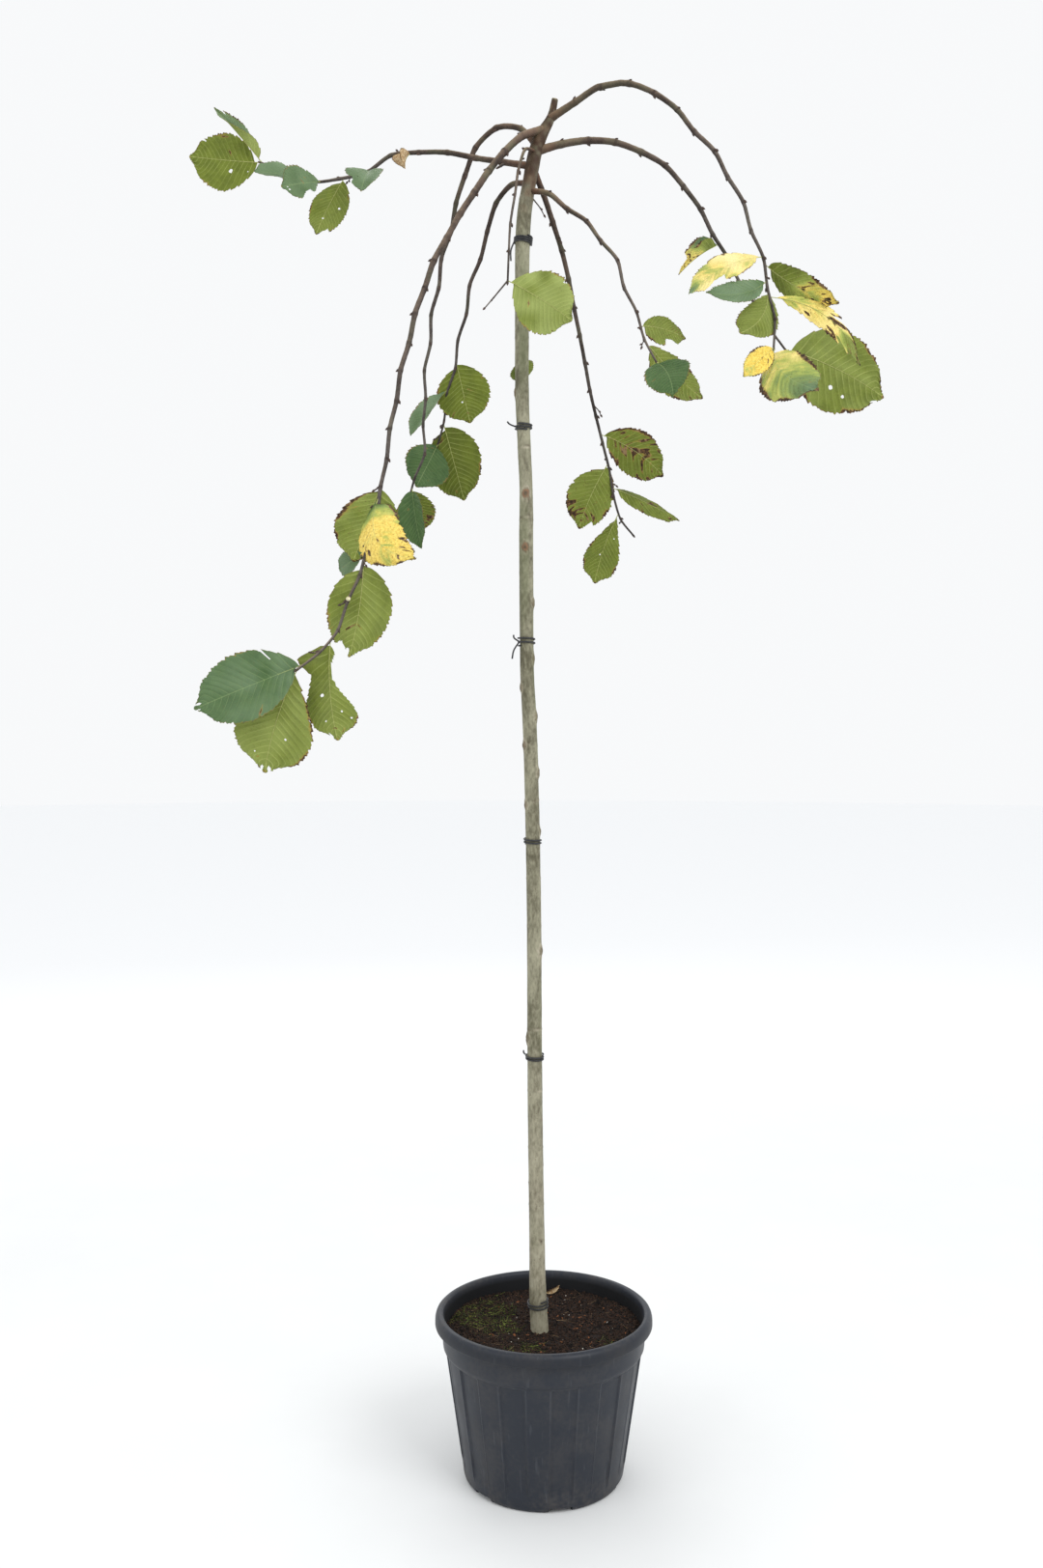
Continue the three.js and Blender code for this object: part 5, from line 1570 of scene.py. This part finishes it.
def blade_sheet(row, root, tooth, seed):
    """One blade as a grid of points: shares along and across it, the points, and how far each
    row sticks out at the margin, from -1 in a gap to 1 on the point of a tooth."""
    spread = np.random.default_rng(seed)
    count = SIDE_VEINS * ROWS_PER_VEIN + 1
    s = np.linspace(0, 1, count)[:, None]
    turn = np.linspace(-1, 1, 2 * HALF_COLUMNS + 1)[None, :] * np.pi / 2 * MARGIN_CROWDING
    a = np.sin(turn) / math.sin(np.pi / 2 * MARGIN_CROWDING)
    reach, side = np.abs(a), (a > 0).astype(int) + 0 * (s > 0)
    scale = row["width"] / FULL_WIDTH
    # The rows run along the side veins, which lean towards the tip.
    place = s + VEIN_LEAN * reach * 4.7 * s * (1 - s) * (1 - 0.35 * s)
    share = STALK + (1 - STALK) * place
    # Each side vein ends in a tooth that carries a smaller one. No two are equally strong.
    run = (s * SIDE_VEINS + 0.02) % 1
    saw = 0.6 * run + 0.4 * ((2 * run) % 1) - 0.45
    which = np.minimum((2 * s * SIDE_VEINS).astype(int), 2 * SIDE_VEINS - 1)
    strength = spread.uniform(0.45, 1.5, (2 * SIDE_VEINS, 2))[which, side]
    points_out = tooth * (0.45 + 0.55 * scale) * saw * strength
    gap = torn_gaps(row, spread, count)[np.arange(count)[:, None], side]
    gap = gap * row["ragged"] * GAP_DEPTH * row["width"] / 2
    edge = np.clip(saw * 1.8 - gap / 2, -1, 1)
    ends = smooth(s, 0.0, 0.08) * smooth(s, 1.0, 0.93)
    teeth = (points_out - gap) * ends * reach**7
    # The blade is ruffled, quilted between its veins, sunk at its midrib and curled at its rim.
    phases = spread.uniform(0, 2 * np.pi, 6).reshape(-1, 2)
    ruffle = sum(np.sin(2 * np.pi * waves * s + p + (a > 0) * q) * height
                 for (waves, height), (p, q) in zip(RUFFLES, phases))
    quilt = 0.6 * (1 - np.cos(2 * np.pi * s * SIDE_VEINS)) * np.sin(np.pi * reach) ** 0.7
    dip = -0.9 * hump(reach, 0, 0.12)
    curl = row["margin"] * 2.2 * (spread.random() - 0.5) * reach**4
    lift = (ruffle * reach**2 + quilt + dip + curl) * scale * smooth(s, 0, 0.06)
    for at, half, further, length, rise in row["lobes"]:
        swell = hump(place, at, length) * (np.sign(a) == half) * reach**2
        teeth, lift = teeth + further * swell, lift + rise * swell
    points = leaf_points(row, root, share, a, teeth, lift)
    low, high = (np.array(corner) / MILLIMETRE for corner in cad_box)
    points = np.clip(points, low + BOX_MARGIN, high - BOX_MARGIN)
    return s + 0 * a, a + 0 * s, points, edge + 0 * a


def blade_values(row, s, a, points, edge, seed):
    """How yellow, brown, pale, dry and freckled the blade is at each point, and its painted shade.
    """
    reach, side = np.abs(a), np.sign(a)
    cloud = noise(points, 26, seed)
    streaks = noise(np.stack([s * SIDE_VEINS * 1.7, a * 3.4, 0 * s + seed], -1), 1.0, seed + 1)
    rim = noise(np.stack([s * 8, side * 3, 0 * s + seed], -1), 1.0, seed + 2)
    yellowing = row["yellow"] * (1 + 0.5 * cloud + 0.3 * streaks) * smooth(s, *row["turned"])
    band = 0.02 + row["margin"] * 0.3 * smooth(rim, -0.15, 0.7)
    browning = smooth(reach, 1 - band, 1.0) * (0.3 + 0.6 * row["margin"])
    browning = np.maximum(browning, row["margin"] * 0.8 * smooth(s, 0.92, 1.0))
    tips = np.where(reach > 0.98, 0.52 + 0.45 * np.clip(edge, -0.3, 1), 0)
    browning = np.maximum(browning, tips)
    amount = row["blotch"] * smooth(s, *row["worn"])
    blotches = smooth(0.65 * streaks + 0.35 * cloud, 0.62 - 0.75 * amount, 0.92 - 0.6 * amount)
    browning = np.maximum(browning, 0.85 * blotches * (amount > 0.01))
    return {
        "yellowing": np.clip(yellowing, 0, 1),
        "browning": np.clip(browning, 0, 1),
        "bloom": np.clip(row["bloom"] * (0.8 + 0.6 * cloud), -0.4, 1),
        "dryness": np.full(s.shape, float(row["dry"])),
        "freckles": np.full(s.shape, min(1, 0.15 + row["margin"] * 0.4 + row["blotch"])),
    }


def cell_middles(grid):
    return (grid[:-1, :-1] + grid[1:, :-1] + grid[:-1, 1:] + grid[1:, 1:]) / 4


def kept_cells(row, s, a, points, seed):
    """Which cells of the blade are still there. Each hole's rim is drawn into a ring."""
    spread = np.random.default_rng(seed + 9)
    cs, ca = cell_middles(s), cell_middles(a)
    kept = np.ones(cs.shape, bool)
    for share, side, depth, length in row["bites"]:
        cut = 1 - depth * np.exp(-((cs - share) / length) ** 4)
        kept &= ~((np.sign(ca) == side) & (np.abs(ca) > cut) & (cut < 0.985))
    for share, across, radius in row["holes"]:
        i, j = np.unravel_index(np.argmin(np.abs(s - share) * 3 + np.abs(a - across)), s.shape)
        centre = points[i, j].copy()
        down, over = points[i + 1, j] - points[i - 1, j], points[i, j + 1] - points[i, j - 1]
        m = min(max(1, round(1.6 * radius / np.linalg.norm(down))), i - 1, len(s) - 2 - i)
        n = min(max(1, round(1.6 * radius / np.linalg.norm(over))), j - 1, s.shape[1] - 2 - j)
        first = unit(over)
        second = unit(down - first * (down @ first))
        for di, dj in itertools.product(range(-m, m + 1), range(-n, n + 1)):
            if abs(di) == m or abs(dj) == n:
                turn = math.atan2(di / m, dj / n)
                spoke = first * math.cos(turn) + second * math.sin(turn)
                points[i + di, j + dj] = centre + spoke * radius * spread.uniform(0.8, 1.15)
        kept[i - m:i + m, j - n:j + n] = False
    return kept


def border_edges(faces, count):
    """The edges that only one face has, each running the way it runs in that face."""
    edges = np.stack([faces, np.roll(faces, -1, axis=1)], -1).reshape(-1, 2)
    keys = np.sort(edges, axis=1) @ np.array((count, 1))
    _, first, counts = np.unique(keys, return_index=True, return_counts=True)
    return edges[first[counts == 1]]


def blade_solid(shape, row, root, cell, seed, tooth):
    """Adds a blade with both its skins and the wall along its margin, holes and bites."""
    s, a, points, edge = blade_sheet(row, root, tooth, seed)
    kept = kept_cells(row, s, a, points, seed)
    values = blade_values(row, s, a, points, edge, seed)
    normal = unit(np.cross(np.gradient(points, axis=1), np.gradient(points, axis=0)))
    across_mm = np.linalg.norm(points - points[:, HALF_COLUMNS:HALF_COLUMNS + 1], axis=-1)
    blade_map = np.stack([np.sign(a) * across_mm / 100, s * SIDE_VEINS], -1).reshape(-1, 2)
    atlas = np.stack([(a + 1) / 2, s], -1).reshape(-1, 2)
    # Only the points of the cells that are kept go into the piece.
    faces = grid_faces(*s.shape)[kept.ravel(), ::-1]
    used = np.unique(faces)
    renumber = np.full(s.size, -1)
    renumber[used] = np.arange(len(used))
    faces = renumber[faces]
    values = {k: v.ravel()[used] for k, v in values.items()}
    middle, normal = points.reshape(-1, 3)[used], normal.reshape(-1, 3)[used]
    skins = [middle + normal * sign * BLADE_THICKNESS / 2 for sign in (1, -1)]
    for skin, turned in enumerate((faces, faces[:, ::-1])):
        corners = used[turned.ravel()]
        shape.add(skins[skin], turned, skin, {
            "blade": blade_map[corners], "OFBake": in_cell(atlas[corners], cell, skin),
        }, **values)
    start, end = border_edges(faces, len(used)).T
    own = used[np.stack([start, start, end, end], -1).ravel()]
    wall = np.stack([start, start + len(used), end + len(used), end], -1)
    shape.add(np.vstack(skins), wall, 0,
              {"blade": blade_map[own], "OFBake": in_cell(atlas[own], cell, 0)},
              **{k: np.concatenate([v, v]) for k, v in values.items()})
    return points


def in_cell(places, cell, skin):
    """Moves places in the unit square to a leaf's own cell of the atlas."""
    column, row, columns, rows = cell
    inset = 0.03
    width = 1 / (columns * 2)
    x = (column * 2 + skin) * width + width * (inset + (1 - 2 * inset) * places[:, 0])
    y = (row + inset + (1 - 2 * inset) * places[:, 1]) / rows
    return np.stack([x, y], -1)


def rib(shape, row, root, points):
    """The stalk and the midrib, which stands out of the blade's underside."""
    share = np.linspace(0, STALK, 6)[:-1]
    stalk = leaf_points(row, root, share, 0 * share)
    normal = unit(np.cross(np.gradient(points, axis=1), np.gradient(points, axis=0)))
    midrib, down = (grid[::3, HALF_COLUMNS][1:-4] for grid in (points, -normal))
    line, offset = np.vstack([stalk, midrib]), np.vstack([np.zeros_like(stalk), down])
    place = np.linspace(0, 1, len(line))
    size = 0.7 + 0.3 * min(1.4, row["width"] / FULL_WIDTH)
    line = line + offset * 0.35 * size * smooth(place, 0.05, 0.2)[:, None]
    radii = size * (1.15 - 0.95 * place ** 0.6)
    tube(shape, line, np.maximum(radii, 0.12), sideways_of(row["tip"]), 7, slot=2,
         dryness=float(row["dry"]), yellowing=row["yellow"])


def leaf_finishes(look):
    """Finishes of a leaf's upper side, of its underside, and of its stalk and midrib."""
    upper = blade("leaf_upper", (look.leaf_upper, look.leaf_upper_dark),
                  bloom=srgb(126, 148, 118), veining=srgb(140, 162, 108), vein_strength=0.32,
                  relief=-0.0007, rough=0.44, gloss=0.25)
    under = blade("leaf_underside", (look.leaf_under, look.leaf_under_dark),
                  bloom=srgb(152, 164, 98), veining=srgb(170, 178, 106), vein_strength=0.52,
                  relief=0.0007, rough=0.66, gloss=0.15)
    stalks = plain_finish("leaf_rib", srgb(170, 176, 104), srgb(140, 142, 76), 0.6, 300.0)
    return [upper, under, stalks]


def build_leaves(look):
    """Each bough's leaves as one piece, every leaf with a cell of its own in the atlas."""
    tooth = look.tooth_depth / MILLIMETRE
    for index, (name, rows) in enumerate(LEAVES.items()):
        shape = Shape()
        columns = math.ceil(math.sqrt(len(rows) / 2))
        tall = math.ceil(len(rows) / columns)
        for order, row in enumerate(rows):
            root = place_back(name, row["back"])[0]
            cell = (order % columns, order // columns, columns, tall)
            seed = 300 + 20 * index + order
            rib(shape, row, root, blade_solid(shape, row, root, cell, seed, tooth))
        made = shape.object(f"leaves_{name}", leaf_finishes(look))
        made.data.uv_layers.active = made.data.uv_layers["blade"]
        finish_piece(made, "foliage", f"foliage_{name}")


# ---------------------------------------------------------------- stage

# In metres. The camera stands in front at a grown-up's eye level and looks a little down.
CAMERA_PLACE = (-0.0441, -2.8225, 1.4917)
CAMERA_DIP = 0.0420
LENS, SENSOR = 33.13, 36.0
FLOOR_RINGS = [0.0001, 1, 3, 8, 25]
FLOOR_DROP = 0.2  # in millimetres, so that the pot's underside stays clear of the floor
LAMPS = [("key", 130, 3.0, (2.8, -3.4, 4.6)), ("fill", 30, 3.0, (-3.4, -2.6, 2.6)),
         ("back", 40, 3.0, (-1.0, 3.6, 4.0))]  # name, energy, size, place
LAMP_AIM = (0, 0, 1.3)
SKY_COLOUR = (0.96, 0.97, 0.98)


def studio_floor(look):
    """The floor pales with distance, where the lamps no longer reach it."""
    made, graph, shader = new_material("pale_floor", 0.9)
    if graph is None:
        return made
    place = object_place(graph)
    away = graph.vector("LENGTH", {0: place}, "Value")
    cloud = graph.noise(place, 3.0, 3.0, 0.6)
    near = graph.mix(graph.step(cloud, 0.35, 0.65), look.floor_colour,
                     tuple(c * 0.985 for c in look.floor_colour))
    graph.put(shader.inputs["Base Color"], graph.mix(
        graph.step(away, 1.5, 6.0), near, look.far_floor_colour))
    bumped(graph, shader, cloud, 0.02, 0.0005)
    return made


def build_stage(look):
    """The camera, the floor, three soft lamps and an even pale sky."""
    data = bpy.data.cameras.new("view")
    data.lens, data.sensor_width, data.clip_end = LENS, SENSOR, 60.0
    camera = new_object("view", data)
    camera.location = CAMERA_PLACE
    camera.rotation_euler = (math.pi / 2 - CAMERA_DIP, 0.0, 0.0)
    bpy.context.scene.camera = camera
    bpy.context.scene.view_settings.view_transform = "Standard"
    shape = Shape()
    out = np.array(FLOOR_RINGS) / MILLIMETRE
    turn = np.linspace(0, 2 * np.pi, 64, endpoint=False)
    ring = np.stack([np.cos(turn), np.sin(turn), 0 * turn], -1)
    shape.grid(out[:, None, None] * ring - UP * FLOOR_DROP, wrap=True)
    shape.object("floor", [studio_floor(look)])
    for name, energy, size, place in LAMPS:
        data = bpy.data.lights.new(name, "AREA")
        data.energy, data.size = energy, size
        lamp = new_object(name, data)
        lamp.location = place
        aim = np.array(LAMP_AIM) - np.array(place)
        lamp.rotation_euler = (math.acos(-aim[2] / np.linalg.norm(aim)), 0,
                               math.atan2(aim[1], aim[0]) - math.pi / 2)
    world = bpy.data.worlds.new("studio")
    world.use_nodes = True
    sky = world.node_tree.nodes["Background"]
    sky.inputs["Color"].default_value = rgba(SKY_COLOUR)
    sky.inputs["Strength"].default_value = look.sky_strength
    bpy.context.scene.world = world


# ---------------------------------------------------------------- the add-on


def colour(name, description, value):
    return bpy.props.FloatVectorProperty(name=name, description=description, subtype="COLOR",
                                         size=3, min=0, max=1, default=value)


class ElmSettings(bpy.types.PropertyGroup):
    """Sizes and colours of the potted elm that can be changed before it is built."""

    pot_colour: colour("Pot", "Anthracite of the moulded pot", srgb(39, 43, 51))
    # Partly a damp stain inside the pot, partly painted shade inside it and on the collar's face.
    stain_and_shade_colour: colour("Pot, inside", "Damp stain inside the pot", srgb(12, 13, 15))
    dust_colour: colour("Dust", "Dried compost splashed on the pot", srgb(112, 104, 94))
    # Also the colour of the painted highlights on the panels' lips and top edges.
    scuff_colour: colour("Scuffs", "Pale rubbed marks on the pot", srgb(126, 130, 136))
    soil_dark: colour("Compost, dark", "Darker colour of the compost", srgb(12, 9, 8))
    soil_light: colour("Compost, light", "Lighter colour of the compost", srgb(52, 37, 28))
    stem_light: colour("Stem, light", "Lighter colour of the stem's bark", srgb(150, 147, 125))
    stem_dark: colour("Stem, dark", "Darker colour of the stem's bark", srgb(84, 80, 62))
    bough_light: colour("Boughs, light", "Lighter colour of the boughs", srgb(93, 77, 65))
    bough_dark: colour("Boughs, dark", "Darker colour of the boughs", srgb(48, 38, 32))
    tie_colour: colour("Ties", "Rubber of the ties", srgb(24, 25, 27))
    leaf_upper: colour("Leaf, upper side", "Fresh upper side", srgb(66, 94, 46))
    leaf_upper_dark: colour("Leaf, upper side, dark", "Shaded parts of it", srgb(50, 80, 34))
    leaf_under: colour("Leaf, underside", "Fresh underside", srgb(104, 116, 40))
    leaf_under_dark: colour("Leaf, underside, dark", "Shaded parts of it", srgb(86, 98, 30))
    floor_colour: colour("Floor", "Pale studio floor", (0.80, 0.81, 0.81))
    far_floor_colour: colour("Floor, far", "Floor beyond the lamps", (0.97, 0.98, 0.99))
    tooth_depth: bpy.props.FloatProperty(
        name="Tooth depth", description="Depth of the teeth along a leaf's margin",
        default=0.0046, min=0, max=0.02, unit="LENGTH")
    crumb_density: bpy.props.FloatProperty(
        name="Litter", description="How thickly crumbs and chips cover the compost",
        default=1.0, min=0.05, max=3, subtype="FACTOR")
    sky_strength: bpy.props.FloatProperty(
        name="Sky", description="Strength of the even studio light", default=0.98, min=0)


class Build:
    """What the operators share: each builds its pieces and raises if it can't."""

    bl_options = {"REGISTER", "UNDO"}
    maker = None

    def execute(self, context):
        type(self).maker(context.scene.elm)
        return {"FINISHED"}


class ELM_OT_stage(Build, bpy.types.Operator):
    """Set up the camera, floor and soft studio light"""
    bl_idname, bl_label, maker = "elm.stage", "Stage", staticmethod(build_stage)


class ELM_OT_pot(Build, bpy.types.Operator):
    """Build the moulded nursery pot"""
    bl_idname, bl_label, maker = "elm.pot", "Pot", staticmethod(build_pot)


class ELM_OT_soil(Build, bpy.types.Operator):
    """Build the compost with its crumbs, chips and moss"""
    bl_idname, bl_label, maker = "elm.soil", "Compost", staticmethod(build_soil)


class ELM_OT_stem(Build, bpy.types.Operator):
    """Build the stem's bark with its knots and scars"""
    bl_idname, bl_label, maker = "elm.stem", "Stem", staticmethod(build_stem)


class ELM_OT_ties(Build, bpy.types.Operator):
    """Wind the ties round the stem"""
    bl_idname, bl_label, maker = "elm.ties", "Ties", staticmethod(build_ties)


class ELM_OT_boughs(Build, bpy.types.Operator):
    """Build the boughs, twigs and buds"""
    bl_idname, bl_label, maker = "elm.boughs", "Boughs and buds", staticmethod(build_boughs)


class ELM_OT_leaves(Build, bpy.types.Operator):
    """Build the leaves of every bough"""
    bl_idname, bl_label, maker = "elm.leaves", "Leaves", staticmethod(build_leaves)


OPERATORS = (ELM_OT_stage, ELM_OT_pot, ELM_OT_soil, ELM_OT_stem, ELM_OT_ties, ELM_OT_boughs,
             ELM_OT_leaves)


class ELM_PT_panel(bpy.types.Panel):
    """Lists the pieces and their settings in the sidebar"""
    bl_idname = "ELM_PT_panel"
    bl_label = "Potted weeping elm"
    bl_space_type = "VIEW_3D"
    bl_region_type = "UI"
    bl_category = "Elm"

    def draw(self, context):
        for operator in OPERATORS:
            self.layout.operator(operator.bl_idname)
        for key in ElmSettings.__annotations__:
            self.layout.prop(context.scene.elm, key)


CLASSES = (ElmSettings, *OPERATORS, ELM_PT_panel)


def register():
    for kind in CLASSES:
        bpy.utils.register_class(kind)
    bpy.types.Scene.elm = bpy.props.PointerProperty(type=ElmSettings)


def unregister():
    del bpy.types.Scene.elm
    for kind in reversed(CLASSES):
        bpy.utils.unregister_class(kind)


def main():
    register()
    for operator in OPERATORS:
        getattr(bpy.ops.elm, operator.bl_idname.split(".")[1])()
    bpy.context.view_layer.update()


if __name__ == "__main__":
    main()
